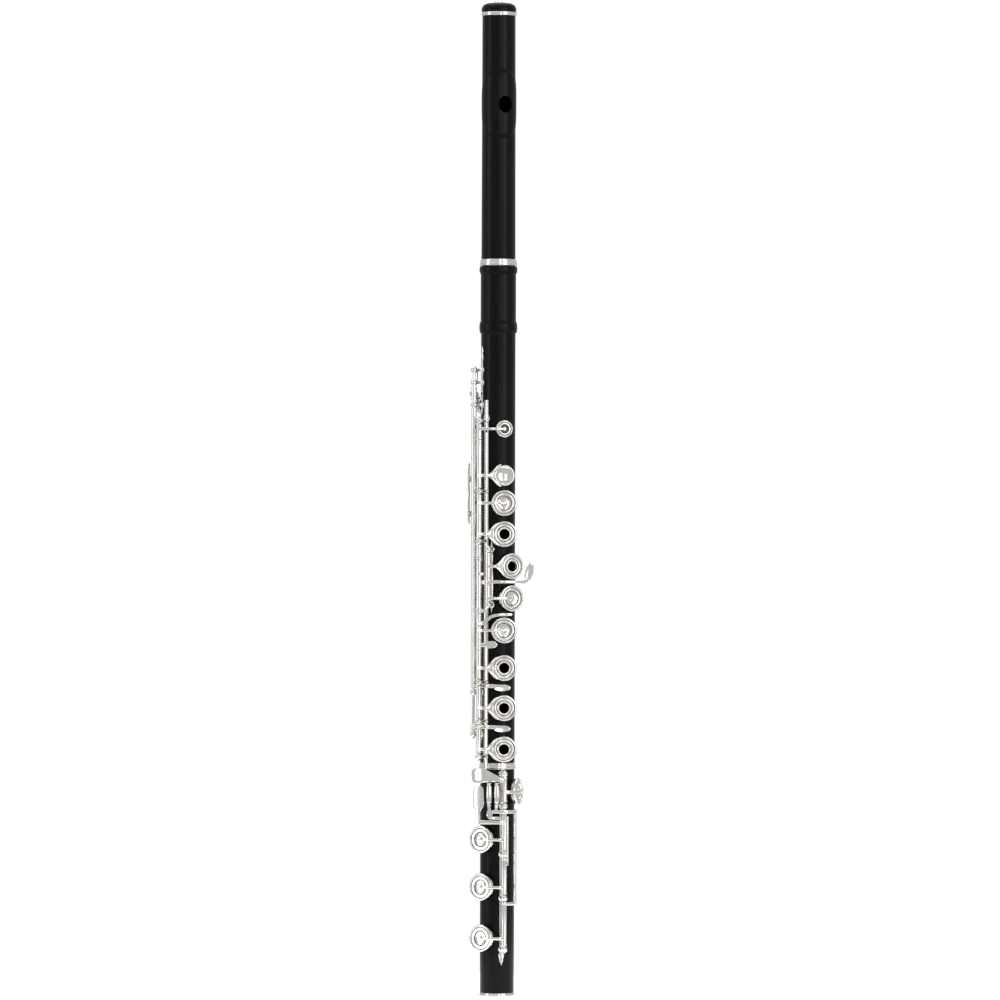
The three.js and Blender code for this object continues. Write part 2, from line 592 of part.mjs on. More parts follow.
// Head joint
add('crown_cap', lathe([
  [0, 692], [7.9, 692], [7.9, 707.1], [11.4, 707.1], [11.4, 709.9], [12.6, 710.3], [12.4, 712.6], [11.2, 714.8],
  [8.6, 716.1], [3.2, 716.6], [2.8, 717.8], [0, 717.8],
], 20).subtract(cylinder(2.45, 680, 704, 10)), WOOD);
add('crown_ring', sleeve(11.7, 12.75, 707.1, 709.8, 20), SILVER);
add('head_tube', headTube(), WOOD);
add('stopper_cork', sleeve(2.4, 8.45, 661.2, 677, 24), CORK);
add('stopper_screw', lathe([
  [0, 658.9], [8.3, 658.9], [8.3, 660.9], [2.05, 660.9], [2.05, 677.3], [8.1, 677.3], [8.1, 678.6], [2.05, 678.6],
  [2.05, 702], [0, 702],
], 16), SILVER);
add('head_ring', lathe([
  [12.35, 527.4], [RING_R + 0.35, 527.4], [RING_R + 0.35, 529.6], [RING_R - 0.1, 529.9], [RING_R - 0.1, 531.8],
  [12.35, 531.8], [12.35, 527.4],
], 24), SILVER);
add('head_tenon', sleeve(9.7, 10.6, 491, 545.5, 18), SILVER);

// Body joint
add('body_tube', bodyTube(), WOOD);
add('body_socket_lining', sleeve(10.85, 11.25, 488, 526.6, 18), SILVER);
add('body_tenon', sleeve(9.65, 10.7, 157.2, 172.2, 18), SILVER);
add('main_rib', ribWithPosts({
  deg: ROD_ANGLE, rodR: ROD_R, half: 2.6, z0: 170.2, z1: 424.8, posts: [415.4, 364.7, 329, 227.5, 199.4, 174.2],
}), SILVER);
add('g_rib', ribWithPosts({
  deg: G_ROD_ANGLE, rodR: ROD_R, half: 1.3, z0: 277, z1: 330, posts: [323.3, 283.3],
}), SILVER);
add('trill_rib', ribWithPosts({
  deg: TRILL_ANGLE - 2, rodR: TRILL_R, half: 1.5, z0: 420, z1: 469, posts: [],
}).add(trillPosts([452, 443, 427])), SILVER);
add('trill_strap', ribWithPosts({
  deg: TRILL_ANGLE - 2, rodR: TRILL_R, half: 1.5, z0: 184, z1: 228, posts: [],
}).add(trillPosts([220.4, 190.3])), SILVER);
add('thumb_rib', ribWithPosts({
  deg: THUMB_ANGLE, rodR: THUMB_ROD_R, half: 1.8, z0: 326, z1: 396, posts: [389, 334],
}), SILVER);

function trillPosts(list) {
  const hole = at(cylinder(TUBE_HOLE_R, 150, 480, 6), polar(TRILL_ANGLE, TRILL_R));
  return union(list.map((z) => post(TRILL_ANGLE, TRILL_R, z, BODY_R + 0.35))).subtract(hole);
}

add('left_hand_steel', steelRod(ROD_ANGLE, ROD_R, 331.9, 418.4), STEEL);
add('right_hand_steel', steelRod(ROD_ANGLE, ROD_R, 171.4, 331.3), STEEL);
add('g_steel', steelRod(G_ROD_ANGLE, ROD_R, 280.6, 326), STEEL);
add('thumb_steel', steelRod(THUMB_ANGLE, THUMB_ROD_R, 331.4, 391.6), STEEL);

add('c_sharp_key', cSharpKey(), SILVER);
add('a_sharp_key', bodyKey('a_sharp', [347.5, 362.1], 'pointed'), SILVER);
add('a_key', bodyKey('a', [331.7, 347.1], 'forked'), SILVER);
add('g_key', gKey(311, 'forked', true, [302.8, 320.6]), SILVER);
add('lower_g_key', gKey(288, 'pointed', false, [286, 297]), SILVER);
add('g_sharp_key', gSharpKey(), SILVER);
add('split_e_lever', splitELever(), SILVER);
add('b_flat_lever', bFlatLever(), SILVER);
add('f_sharp_key', bodyKey('f_sharp', [258.3, 267.8], 'pointed'), SILVER);
add('f_key', bodyKey('f', [230.2, 250.2], 'forked'), SILVER);
add('e_key', bodyKey('e', [202.1, 224.8], 'forked'), SILVER);
add('d_key', bodyKey('d', [176.9, 196.7], 'forked'), SILVER);
add('d_trill_lever', dTrillLever(), SILVER);
add('d_trill_cup', dTrillCup(), SILVER);
add('d_sharp_trill_key', dSharpTrill(), SILVER);
add('thumb_b_key', thumbKey(350, [336.7, 360.6], 343, 361), SILVER);
add('thumb_b_flat_key', thumbKey(370, [361, 386.3], 364, 383), SILVER);

for (const name of Object.keys(BODY_CUPS)) add(`pad_${name}`, bodyPad(name), PAD);
add('pad_g', gPad(311, true), PAD);
add('pad_lower_g', gPad(288, false), PAD);

// Foot joint
add('foot_tube', footTube(), WOOD);
add('foot_socket_ring', lathe([
  [11.3, 165.2], [RING_R + 0.2, 165.2], [RING_R + 0.2, 167.3], [RING_R - 0.2, 167.6], [RING_R - 0.2, 169.2],
  [11.3, 169.2], [11.3, 165.2],
], 24), SILVER);
add('foot_bottom_ring', lathe([
  [BORE_R, 0], [12.6, 0], [RING_R, 0.8], [RING_R, 2.9], [12.6, 4], [BORE_R, 4], [BORE_R, 0],
], 24), SILVER);
add('foot_rib', ribWithPosts({
  deg: FOOT_ROD_ANGLE, rodR: ROD_R, half: 1.8, z0: 24.1, z1: 164.6, posts: [162.0, 139, 104.4, 72.7, 36],
  inner: FOOT_R + 0.15,
}), SILVER);
add('foot_steel', steelRod(FOOT_ROD_ANGLE, ROD_R, 33.2, 164.8), STEEL);
add('foot_d_sharp_key', footDSharpKey(), SILVER);
add('foot_c_sharp_key', footCSharpKey(), SILVER);
add('foot_c_key', footCKey(), SILVER);
add('foot_b_key', footBKey(), SILVER);
add('roller_c', roller(ROLLER_C), SILVER);
add('roller_b', roller(ROLLER_B), SILVER);
add('pad_foot_c_sharp', footPad(114.8), PAD);
add('pad_foot_c', footPad(80.6), PAD);
add('pad_foot_b', footPad(43.9), PAD);
add('pad_foot_d_sharp', pad(FOOT_SIDE_ANGLE, 149, 9.4, false), PAD);

export default group;
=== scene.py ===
import json
import math

import bpy
from mathutils import Matrix, Vector


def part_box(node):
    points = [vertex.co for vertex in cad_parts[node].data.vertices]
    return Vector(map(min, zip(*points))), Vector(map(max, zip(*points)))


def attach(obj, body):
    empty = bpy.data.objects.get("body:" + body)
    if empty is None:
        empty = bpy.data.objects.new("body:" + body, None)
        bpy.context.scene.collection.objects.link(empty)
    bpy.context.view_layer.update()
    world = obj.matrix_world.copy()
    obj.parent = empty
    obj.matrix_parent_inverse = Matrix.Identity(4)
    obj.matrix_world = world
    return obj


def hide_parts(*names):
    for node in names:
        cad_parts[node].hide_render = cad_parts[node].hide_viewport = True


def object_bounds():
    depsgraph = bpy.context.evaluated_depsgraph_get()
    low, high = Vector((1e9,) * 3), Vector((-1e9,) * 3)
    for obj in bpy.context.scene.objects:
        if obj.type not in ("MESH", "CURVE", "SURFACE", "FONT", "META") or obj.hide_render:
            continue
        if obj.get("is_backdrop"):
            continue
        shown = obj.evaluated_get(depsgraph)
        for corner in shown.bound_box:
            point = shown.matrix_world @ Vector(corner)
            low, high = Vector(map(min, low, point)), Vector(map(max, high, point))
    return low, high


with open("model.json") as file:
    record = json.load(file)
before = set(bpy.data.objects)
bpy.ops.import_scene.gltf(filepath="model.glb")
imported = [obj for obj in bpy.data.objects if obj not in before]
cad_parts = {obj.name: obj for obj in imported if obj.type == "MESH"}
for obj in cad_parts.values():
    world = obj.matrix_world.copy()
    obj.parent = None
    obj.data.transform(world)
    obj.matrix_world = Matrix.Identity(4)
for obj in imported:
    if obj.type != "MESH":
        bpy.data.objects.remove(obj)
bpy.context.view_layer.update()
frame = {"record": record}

# Driving dimensions, in millimetres. An angle is measured round the bore from -Y, the front, towards +X.
ROD_R = 21.0
TUBE_R = 2.0
STEEL_R = 0.95
BORE_R = 9.5
BODY_R = 12.4
FOOT_R = 12.25
HEAD_R_TOP = 11.9
HEAD_R_LOW = 12.25
SEAT_H = 12.6
CUP_R = 9.35
FOOT_CUP_R = 9.75
OPEN_DEG = 7.0
CUP_ANGLE = 17.0
ROD_ANGLE = -40.0
G_CUP_ANGLE = 36.0
G_ROD_ANGLE = -19.5
TRILL_ANGLE = -60.0
TRILL_R = 20.0
THUMB_ANGLE = -95.0
THUMB_ROD_R = 17.2
THUMB_CUP_ANGLE = -160.0
REAR_CUP_ANGLE = -130.0
FOOT_ROD_ANGLE = 14.0
FOOT_CUP_ANGLE = -43.0
FOOT_SIDE_ANGLE = 71.0
LIP_ANGLE = 22.0
SOFT_STRENGTH = 0.6
FLOOR_R = 0.3
FLOOR_Z = -0.0005
CAMERA_ROLL = -0.13


def ends(node):
    """Lowest and highest z of a CAD node, in millimetres."""
    low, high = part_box(node)
    return low.z * 1000, high.z * 1000


def middle(node):
    low, high = ends(node)
    return (low + high) / 2


def polar(deg, r):
    a = math.radians(deg)
    return r * math.sin(a), -r * math.cos(a)


def pivot(joint):
    """Where a joint's axis crosses the plane across the bore, in millimetres."""
    for entry in frame["record"]["behaviour"]["joints"]:
        if entry["name"] == joint:
            return entry["pos_m"][0] * 1000, entry["pos_m"][1] * 1000
    raise KeyError(joint)


# Materials

def shader(name, **sockets):
    material = bpy.data.materials.new(name)
    material.use_nodes = True
    node = material.node_tree.nodes["Principled BSDF"]
    for socket, value in sockets.items():
        node.inputs[socket.replace("_", " ")].default_value = value
    return material, material.node_tree, node


def varied(tree, scale, low, high, detail=4.0, stretch=(1, 1, 1)):
    """A noise in object space, mapped onto a range of greys or colours."""
    where = tree.nodes.new("ShaderNodeTexCoord")
    mapping = tree.nodes.new("ShaderNodeMapping")
    mapping.inputs["Scale"].default_value = stretch
    noise = tree.nodes.new("ShaderNodeTexNoise")
    noise.inputs["Scale"].default_value = scale
    noise.inputs["Detail"].default_value = detail
    ramp = tree.nodes.new("ShaderNodeValToRGB")
    ramp.color_ramp.elements[0].position = 0.3
    ramp.color_ramp.elements[0].color = low
    ramp.color_ramp.elements[1].position = 0.7
    ramp.color_ramp.elements[1].color = high
    tree.links.new(where.outputs["Object"], mapping.inputs["Vector"])
    tree.links.new(mapping.outputs["Vector"], noise.inputs["Vector"])
    tree.links.new(noise.outputs["Fac"], ramp.inputs["Fac"])
    return ramp.outputs["Color"], noise.outputs["Fac"]


def grey(v):
    return (v, v, v, 1.0)


def bumped(tree, node, height, strength, distance):
    bump = tree.nodes.new("ShaderNodeBump")
    bump.inputs["Strength"].default_value = strength
    bump.inputs["Distance"].default_value = distance
    tree.links.new(height, bump.inputs["Height"])
    tree.links.new(bump.outputs["Normal"], node.inputs["Normal"])


def make_wood():
    material, tree, node = shader("oiled_blackwood", Specular_IOR_Level=0.15)
    colour, grain = varied(tree, 90, (0.0012, 0.0011, 0.0011, 1), (0.0042, 0.0035, 0.0032, 1), 6, (6, 6, 0.35))
    rough, _ = varied(tree, 160, grey(0.26), grey(0.36), 3, (4, 4, 0.5))
    tree.links.new(colour, node.inputs["Base Color"])
    tree.links.new(rough, node.inputs["Roughness"])
    bumped(tree, node, grain, 0.12, 0.0002)
    return material


def make_silver():
    material, tree, node = shader("polished_silver", Metallic=1.0)
    colour, _ = varied(tree, 55, (0.80, 0.765, 0.715, 1), (0.93, 0.915, 0.885, 1), 3)
    rough, marks = varied(tree, 420, grey(0.07), grey(0.15), 4)
    tree.links.new(colour, node.inputs["Base Color"])
    tree.links.new(rough, node.inputs["Roughness"])
    bumped(tree, node, marks, 0.012, 0.00003)
    return material


def make_steel():
    material, tree, node = shader("ground_steel", Metallic=1.0)
    colour, _ = varied(tree, 300, (0.42, 0.42, 0.43, 1), (0.56, 0.56, 0.57, 1), 3, (1, 1, 0.2))
    rough, _ = varied(tree, 700, grey(0.22), grey(0.34), 3)
    tree.links.new(colour, node.inputs["Base Color"])
    tree.links.new(rough, node.inputs["Roughness"])
    return material


def make_blued():
    material, tree, node = shader("blued_steel", Metallic=1.0)
    colour, _ = varied(tree, 250, (0.025, 0.032, 0.06, 1), (0.06, 0.075, 0.13, 1), 3)
    rough, _ = varied(tree, 500, grey(0.22), grey(0.36), 3)
    tree.links.new(colour, node.inputs["Base Color"])
    tree.links.new(rough, node.inputs["Roughness"])
    return material


# Near-black silver for the rings in the cup hollows: painted shade, standing in for the shade that falls in those
# turned hollows.
def make_groove_shade_paint():
    material, tree, node = shader("painted_groove_shade_silver", Metallic=1.0)
    colour, _ = varied(tree, 260, (0.05, 0.048, 0.045, 1), (0.16, 0.15, 0.14, 1), 3)
    rough, _ = varied(tree, 500, grey(0.4), grey(0.6), 3)
    tree.links.new(colour, node.inputs["Base Color"])
    tree.links.new(rough, node.inputs["Roughness"])
    return material


def make_pad():
    material, tree, node = shader("pad_skin", Sheen_Weight=0.15)
    colour, weave = varied(tree, 600, (0.62, 0.50, 0.33, 1), (0.80, 0.70, 0.52, 1), 4)
    rough, _ = varied(tree, 300, grey(0.55), grey(0.72), 2)
    tree.links.new(colour, node.inputs["Base Color"])
    tree.links.new(rough, node.inputs["Roughness"])
    bumped(tree, node, weave, 0.2, 0.0001)
    return material


def make_cork():
    material, tree, node = shader("cork")
    colour, grains = varied(tree, 700, (0.30, 0.18, 0.09, 1), (0.62, 0.42, 0.24, 1), 5)
    rough, _ = varied(tree, 500, grey(0.75), grey(0.92), 2)
    tree.links.new(colour, node.inputs["Base Color"])
    tree.links.new(rough, node.inputs["Roughness"])
    bumped(tree, node, grains, 0.5, 0.0003)
    return material


WOOD = make_wood()
SILVER = make_silver()
STEEL = make_steel()
BLUED = make_blued()
GROOVE_SHADE_PAINT = make_groove_shade_paint()
PAD = make_pad()
CORK = make_cork()


# Shapes: each returns (points, faces) in millimetres

def rounded(profile, radius, closed=False, steps=3):
    """A profile with its corners rounded."""
    n = len(profile)
    out = []
    for i, p in enumerate(profile):
        if not closed and i in (0, n - 1):
            out.append(p)
            continue
        a, b = Vector(profile[i - 1]), Vector(profile[(i + 1) % n])
        c = Vector(p)
        u, v = a - c, b - c
        cut = min(radius, u.length * 0.45, v.length * 0.45)
        p0, p1 = c + u.normalized() * cut, c + v.normalized() * cut
        for k in range(steps + 1):
            t = k / steps
            out.append(tuple(p0 * (1 - t) ** 2 + c * 2 * t * (1 - t) + p1 * t * t))
    return out


def lathe(profile, segments=64, closed=False, radius=0.3):
    profile = rounded(profile, radius, closed)
    rings = []
    points = []
    for r, z in profile:
        if r < 1e-6:
            rings.append([len(points)])
            points.append((0.0, 0.0, z))
            continue
        rings.append(list(range(len(points), len(points) + segments)))
        for k in range(segments):
            a = 2 * math.pi * k / segments
            points.append((r * math.cos(a), r * math.sin(a), z))
    faces = []
    pairs = list(zip(rings, rings[1:]))
    if closed:
        pairs.append((rings[-1], rings[0]))
    for low, high in pairs:
        for k in range(segments):
            m = (k + 1) % segments
            if len(low) == 1 and len(high) == 1:
                continue
            if len(low) == 1:
                faces.append((low[0], high[m], high[k]))
            elif len(high) == 1:
                faces.append((low[k], low[m], high[0]))
            else:
                faces.append((low[k], low[m], high[m], high[k]))
    return points, faces


def moved(shape, matrix):
    points, faces = shape
    return [tuple(matrix @ Vector(p)) for p in points], faces


def shifted(shape, x, y, z=0.0):
    return moved(shape, Matrix.Translation((x, y, z)))


def turned(shape, deg, centre=(0.0, 0.0)):
    there = Matrix.Translation((centre[0], centre[1], 0))
    return moved(shape, there @ Matrix.Rotation(math.radians(deg), 4, "Z") @ there.inverted())


def outward(shape, deg, z):
    """Stands a lathe's axis out of the bore at an angle; its heights are from the bore's axis."""
    return shifted(turned(moved(shape, Matrix.Rotation(math.pi / 2, 4, "X")), deg), 0, 0, z)


def pipe(r, z0, z1, centre, segments=28, radius=0.3):
    return shifted(lathe([(0, z0), (r, z0), (r, z1), (0, z1)], segments, radius=radius), *centre)


def smooth(stations, fine=6):
    """A smooth curve through stations that may carry widths as further numbers."""
    out = []
    last = len(stations) - 1
    for i in range(last):
        a = stations[max(i - 1, 0)]
        b, c = stations[i], stations[i + 1]
        d = stations[min(i + 2, last)]
        for k in range(fine):
            t = k / fine
            row = []
            for p, q, r, s in zip(a, b, c, d):
                row.append(0.5 * (2 * q + (r - p) * t + (2 * p - 5 * q + 4 * r - s) * t * t
                                  + (3 * q - p - 3 * r + s) * t ** 3))
            out.append(tuple(row))
    out.append(tuple(stations[last]))
    return out


def bar(stations, fine=6, across=None, power=0.55, sides=16):
    """A forged bar through [x, y, z, half width, half thickness], its thickness facing out of the bore."""
    path = smooth(stations, fine) if fine else [tuple(s) for s in stations]
    points = []
    rings = []

    def ring(row, side, face, shrink, push):
        rings.append(len(points))
        centre = Vector(row[:3]) + push
        for k in range(sides):
            a = 2 * math.pi * (k + 0.5) / sides
            c, s = math.cos(a), math.sin(a)
            u = math.copysign(abs(c) ** power, c) * row[3] * shrink
            v = math.copysign(abs(s) ** power, s) * row[4] * shrink
            points.append(tuple(centre + side * u + face * v))

    for i, row in enumerate(path):
        before, after = Vector(path[max(i - 1, 0)][:3]), Vector(path[min(i + 1, len(path) - 1)][:3])
        along = (after - before).normalized()
        out = Vector(across) if across else Vector((row[0], row[1], 0)).normalized()
        side = along.cross(out).normalized()
        face = side.cross(along).normalized()
        round_off = min(row[3], row[4]) * 0.6
        if i == 0:
            ring(row, side, face, 0.55, -along * round_off * 0.5)
        ring(row, side, face, 1.0, Vector((0, 0, 0)))
        if i == len(path) - 1:
            ring(row, side, face, 0.55, along * round_off * 0.5)
    faces = []
    for a, b in zip(rings, rings[1:]):
        for k in range(sides):
            m = (k + 1) % sides
            faces.append((a + k, a + m, b + m, b + k))
    faces.append(tuple(rings[0] + k for k in reversed(range(sides))))
    faces.append(tuple(rings[-1] + k for k in range(sides)))
    return points, faces


def flat(stations, z, fine=6):
    """A bar in the plane across the bore: [x, y, half width along z, half thickness]."""
    path = smooth(stations, fine) if fine else stations
    rows = [(x, y, z, w, t) for x, y, w, t in path]
    points = []
    faces = []
    rings = []
    sides = 16
    for i, row in enumerate(rows):
        before, after = rows[max(i - 1, 0)], rows[min(i + 1, len(rows) - 1)]
        along = Vector((after[0] - before[0], after[1] - before[1], 0)).normalized()
        face = Vector((-along.y, along.x, 0))
        rounds = [(1.0, 0.0)]
        if i == 0:
            rounds = [(0.55, -0.3), (1.0, 0.0)]
        if i == len(rows) - 1:
            rounds = [(1.0, 0.0), (0.55, 0.3)]
        for shrink, push in rounds:
            rings.append(len(points))
            centre = Vector(row[:3]) + along * push * min(row[3], row[4])
            for k in range(sides):
                a = 2 * math.pi * (k + 0.5) / sides
                c, s = math.cos(a), math.sin(a)
                u = math.copysign(abs(c) ** 0.55, c) * row[3] * shrink
                v = math.copysign(abs(s) ** 0.55, s) * row[4] * shrink
                points.append(tuple(centre + Vector((0, 0, u)) + face * v))
    for a, b in zip(rings, rings[1:]):
        for k in range(sides):
            m = (k + 1) % sides
            faces.append((a + k, b + k, b + m, a + m))
    faces.append(tuple(rings[0] + k for k in range(sides)))
    faces.append(tuple(rings[-1] + k for k in reversed(range(sides))))
    return points, faces


def strap(stations, inner, outer, deg, across=8):
    """A strip that hugs the tube: stations [z, half width]."""
    path = smooth(stations, 8)
    points = []
    for z, half in path:
        span = max(half, 0.05) / inner * 180 / math.pi
        ring = [(-span + 2 * span * k / across, inner) for k in range(across + 1)]
        top = []
        for k in range(across, -1, -1):
            edge = abs(2 * k / across - 1)
            top.append((-span + 2 * span * k / across, outer - (outer - inner) * 0.35 * edge ** 6))
        for d, r in ring + top:
            points.append((*polar(deg + d, r), z))
    n = 2 * (across + 1)
    faces = []
    for s in range(len(path) - 1):
        for k in range(n):
            m = (k + 1) % n
            faces.append((s * n + k, s * n + m, (s + 1) * n + m, (s + 1) * n + k))
    faces.append(tuple(reversed(range(n))))
    faces.append(tuple((len(path) - 1) * n + k for k in range(n)))
    return points, faces


def oval_disc(rx, rz, h0, h1, dish=0.25, segments=40):
    """A slightly dished oval touch facing the front, heights from the bore's axis."""
    points = []
    faces = []
    rims = [(0.86, h0), (1.0, h0 + 0.25), (1.0, h1 - 0.25), (0.93, h1), (0.7, h1 - dish * 0.5), (0.35, h1 - dish)]
    for share, h in rims:
        for k in range(segments):
            t = 2 * math.pi * k / segments
            points.append((rx * share * math.cos(t), -h, rz * share * math.sin(t)))
    for r in range(len(rims) - 1):
        for k in range(segments):
            m = (k + 1) % segments
            a = r * segments
            faces.append((a + k, a + m, a + segments + m, a + segments + k))
    faces.append(tuple(reversed(range(segments))))
    top = (len(rims) - 1) * segments
    faces.append(tuple(top + k for k in range(segments)))
    return points, faces


def ball(r, centre, segments=28, rings=14):
    profile = []
    for k in range(rings + 1):
        a = math.pi * k / rings
        profile.append((r * math.sin(a) if 0 < k < rings else 0.0, -r * math.cos(a)))
    return shifted(lathe(profile, segments, radius=0.0001), *centre)


def piece(name, shapes, material, body, *nodes):
    points = []
    faces = []
    for p, f in shapes:
        start = len(points)
        points += [tuple(c / 1000 for c in q) for q in p]
        faces += [tuple(start + i for i in face) for face in f]
    mesh = bpy.data.meshes.new(name)
    mesh.from_pydata(points, [], faces)
    mesh.materials.append(material)
    obj = bpy.data.objects.new(name, mesh)
    bpy.context.scene.collection.objects.link(obj)
    bpy.context.view_layer.objects.active = obj
    bpy.ops.object.select_all(action="DESELECT")
    obj.select_set(True)
    bpy.ops.object.mode_set(mode="EDIT")
    bpy.ops.mesh.select_all(action="SELECT")
    bpy.ops.mesh.normals_make_consistent(inside=False)
    bpy.ops.object.mode_set(mode="OBJECT")
    for polygon in mesh.polygons:
        polygon.use_smooth = True
    mesh.set_sharp_from_angle(angle=math.radians(38))
    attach(obj, body)
    if nodes:
        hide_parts(*nodes)
    return obj


def drilled(obj, cutters):
    """Cuts closed shapes out of a piece for good."""
    points = []
    faces = []
    for p, f in cutters:
        start = len(points)
        points += [tuple(c / 1000 for c in q) for q in p]
        faces += [tuple(start + i for i in face) for face in f]
    mesh = bpy.data.meshes.new("cutter")
    mesh.from_pydata(points, [], faces)
    tool = bpy.data.objects.new("cutter", mesh)
    bpy.context.scene.collection.objects.link(tool)
    bpy.context.view_layer.objects.active = tool
    bpy.ops.object.select_all(action="DESELECT")
    tool.select_set(True)
    bpy.ops.object.mode_set(mode="EDIT")
    bpy.ops.mesh.select_all(action="SELECT")
    bpy.ops.mesh.normals_make_consistent(inside=False)
    bpy.ops.object.mode_set(mode="OBJECT")
    cut = obj.modifiers.new("holes", "BOOLEAN")
    cut.operation = "DIFFERENCE"
    cut.solver = "EXACT"
    cut.object = tool
    bpy.context.view_layer.update()
    shown = obj.evaluated_get(bpy.context.evaluated_depsgraph_get())
    made = bpy.data.meshes.new_from_object(shown)
    obj.modifiers.clear()
    obj.data = made
    for polygon in made.polygons:
        polygon.use_smooth = True
    made.set_sharp_from_angle(angle=math.radians(30))
    bpy.data.objects.remove(tool)
    return obj


# Wood

def tone_hole(deg, z, r):
    return outward(lathe([(0, 4), (r, 4), (r, 16), (0, 16)], 40, radius=0.01), deg, z)


def seat(deg, z, r):
    """The raised wall round a tone hole, standing out of the tube."""
    return outward(lathe([(0, 10.2), (r + 0.5, 8.6), (r, 10.5), (r, SEAT_H), (0, SEAT_H)], 48, radius=0.35), deg, z)


def bore_cut(r0, r1, z0, z1, steps=()):
    return lathe([(0, z0), (r0, z0), *steps, (r1, z1), (0, z1)], 64, radius=0.01)


BODY_CUPS = [("a_sharp", False), ("a", True), ("f_sharp", False), ("f", True), ("e", True), ("d", True)]
REAR_G_Z = middle("g_sharp_key") - 7.75
THUMB_Z = {"thumb_b_key": ends("thumb_b_key")[0] + 13.3, "thumb_b_flat_key": ends("thumb_b_flat_key")[0] + 9.0}
C_SHARP_Z = ends("c_sharp_key")[0] + 8.8
D_TRILL_Z = ends("d_trill_cup")[1] - 6.3
D_SHARP_TRILL_Z = ends("d_sharp_trill_key")[1] - 27.6


def body_wood():
    low, high = ends("body_tube")
    outline = [
        (0, low), (BODY_R, low), (BODY_R, 478.1), (BODY_R + 0.35, 478.6), (13.45, 479.6), (13.7, 482.6),
        (13.45, 485.6), (BODY_R + 0.65, 486.7), (BODY_R + 0.3, 487.4), (BODY_R + 0.3, 520.9), (12.95, 521.5),
        (13.5, 522.3), (13.68, 524.1), (13.5, 526.0), (13.0, high), (0, high),
    ]
    front = [(CUP_ANGLE, middle("pad_" + name), 8.2, 6.8) for name, _ in BODY_CUPS]
    holes = front + [
        (G_CUP_ANGLE, middle("pad_g"), 8.2, 6.8), (G_CUP_ANGLE, middle("pad_lower_g"), 8.2, 6.8),
        (REAR_CUP_ANGLE, REAR_G_Z, 7.4, 6.0), (THUMB_CUP_ANGLE, THUMB_Z["thumb_b_key"], 7.0, 5.8),
        (THUMB_CUP_ANGLE, THUMB_Z["thumb_b_flat_key"], 7.0, 5.8), (CUP_ANGLE, C_SHARP_Z, 5.6, 3.4),
        (CUP_ANGLE, D_TRILL_Z, 5.2, 3.6), (REAR_CUP_ANGLE, D_SHARP_TRILL_Z, 5.2, 3.6),
    ]
    obj = piece("body_wood", [lathe(outline, 96, radius=0.4)], WOOD, "body", "body_tube")
    drilled(obj, [bore_cut(BORE_R, BORE_R, low - 2, high + 2)])
    drilled(obj, [pipe(11.45, 486, high + 2, (0, 0), 64, 0.01)])
    drilled(obj, [pipe(10.9, low - 2, low + 3, (0, 0), 64, 0.01)])
    seats = piece("body_tone_hole_seats", [seat(d, z, r) for d, z, r, _ in holes], WOOD, "body")
    cutters = [tone_hole(d, z, hole) for d, z, _, hole in holes]
    drilled(seats, cutters)
    drilled(obj, cutters)


def lip_plate():
    """The raised oval the lip rests on, wrapped round the head."""
    points = []
    faces = []
    steps_u, steps_v = 40, 24
    z0 = 643.5
    for i in range(steps_u + 1):
        u = -0.995 + 1.99 * i / steps_u
        length = 26 * math.sqrt(1 - u * u)
        for k in range(steps_v + 1):
            v = -1 + 2 * k / steps_v
            edge = 1 - abs(v) ** 5
            r = HEAD_R_TOP + 0.05 + (1.3 - 0.75 * u * u) * (0.25 + 0.75 * edge) * (1 - abs(u) ** 10 * 0.9)
            if k in (0, steps_v):
                r = 11.4
            points.append((*polar(6 + 100 * u, r), z0 + length * v))
    row = steps_v + 1
    for i in range(steps_u):
        for k in range(steps_v):
            a = i * row + k
            faces.append((a, a + 1, a + row + 1, a + row))
    for i in range(steps_u):
        a, b = i * row, i * row + steps_v
        faces.append((a, a + row, b + row, b))
    faces.append(tuple(range(row)))
    faces.append(tuple(steps_u * row + k for k in reversed(range(row))))
    return points, faces


def embouchure():
    points = []
    segments = 48
    for share, h in ((0.93, 4.0), (1.0, 12.0), (1.0, 16.0)):
        for k in range(segments):
            t = 2 * math.pi * k / segments
            points.append((5.2 * share * math.cos(t), -h, 6.1 * share * math.sin(t)))
    faces = [tuple(reversed(range(segments))), tuple(2 * segments + k for k in range(segments))]
    for r in range(2):
        for k in range(segments):
            m = (k + 1) % segments
            a = r * segments
            faces.append((a + k, a + m, a + segments + m, a + segments + k))
    return shifted(turned((points, faces), LIP_ANGLE), 0, 0, 643.0)


def head_wood():
    low, high = ends("head_tube")
    outline = [(0, low), (HEAD_R_LOW, low), (HEAD_R_TOP, high), (0, high)]
    obj = piece("head_wood", [lathe(outline, 96, radius=0.3)], WOOD, "head", "head_tube")
    lip = piece("lip_plate", [lip_plate()], WOOD, "head")
    bore = bore_cut(BORE_R, 8.6, low - 2, high + 2)
    for part in (obj, lip):
        drilled(part, [embouchure()])
    drilled(obj, [bore])
    drilled(obj, [pipe(10.9, low - 2, low + 13.8, (0, 0), 64, 0.01)])


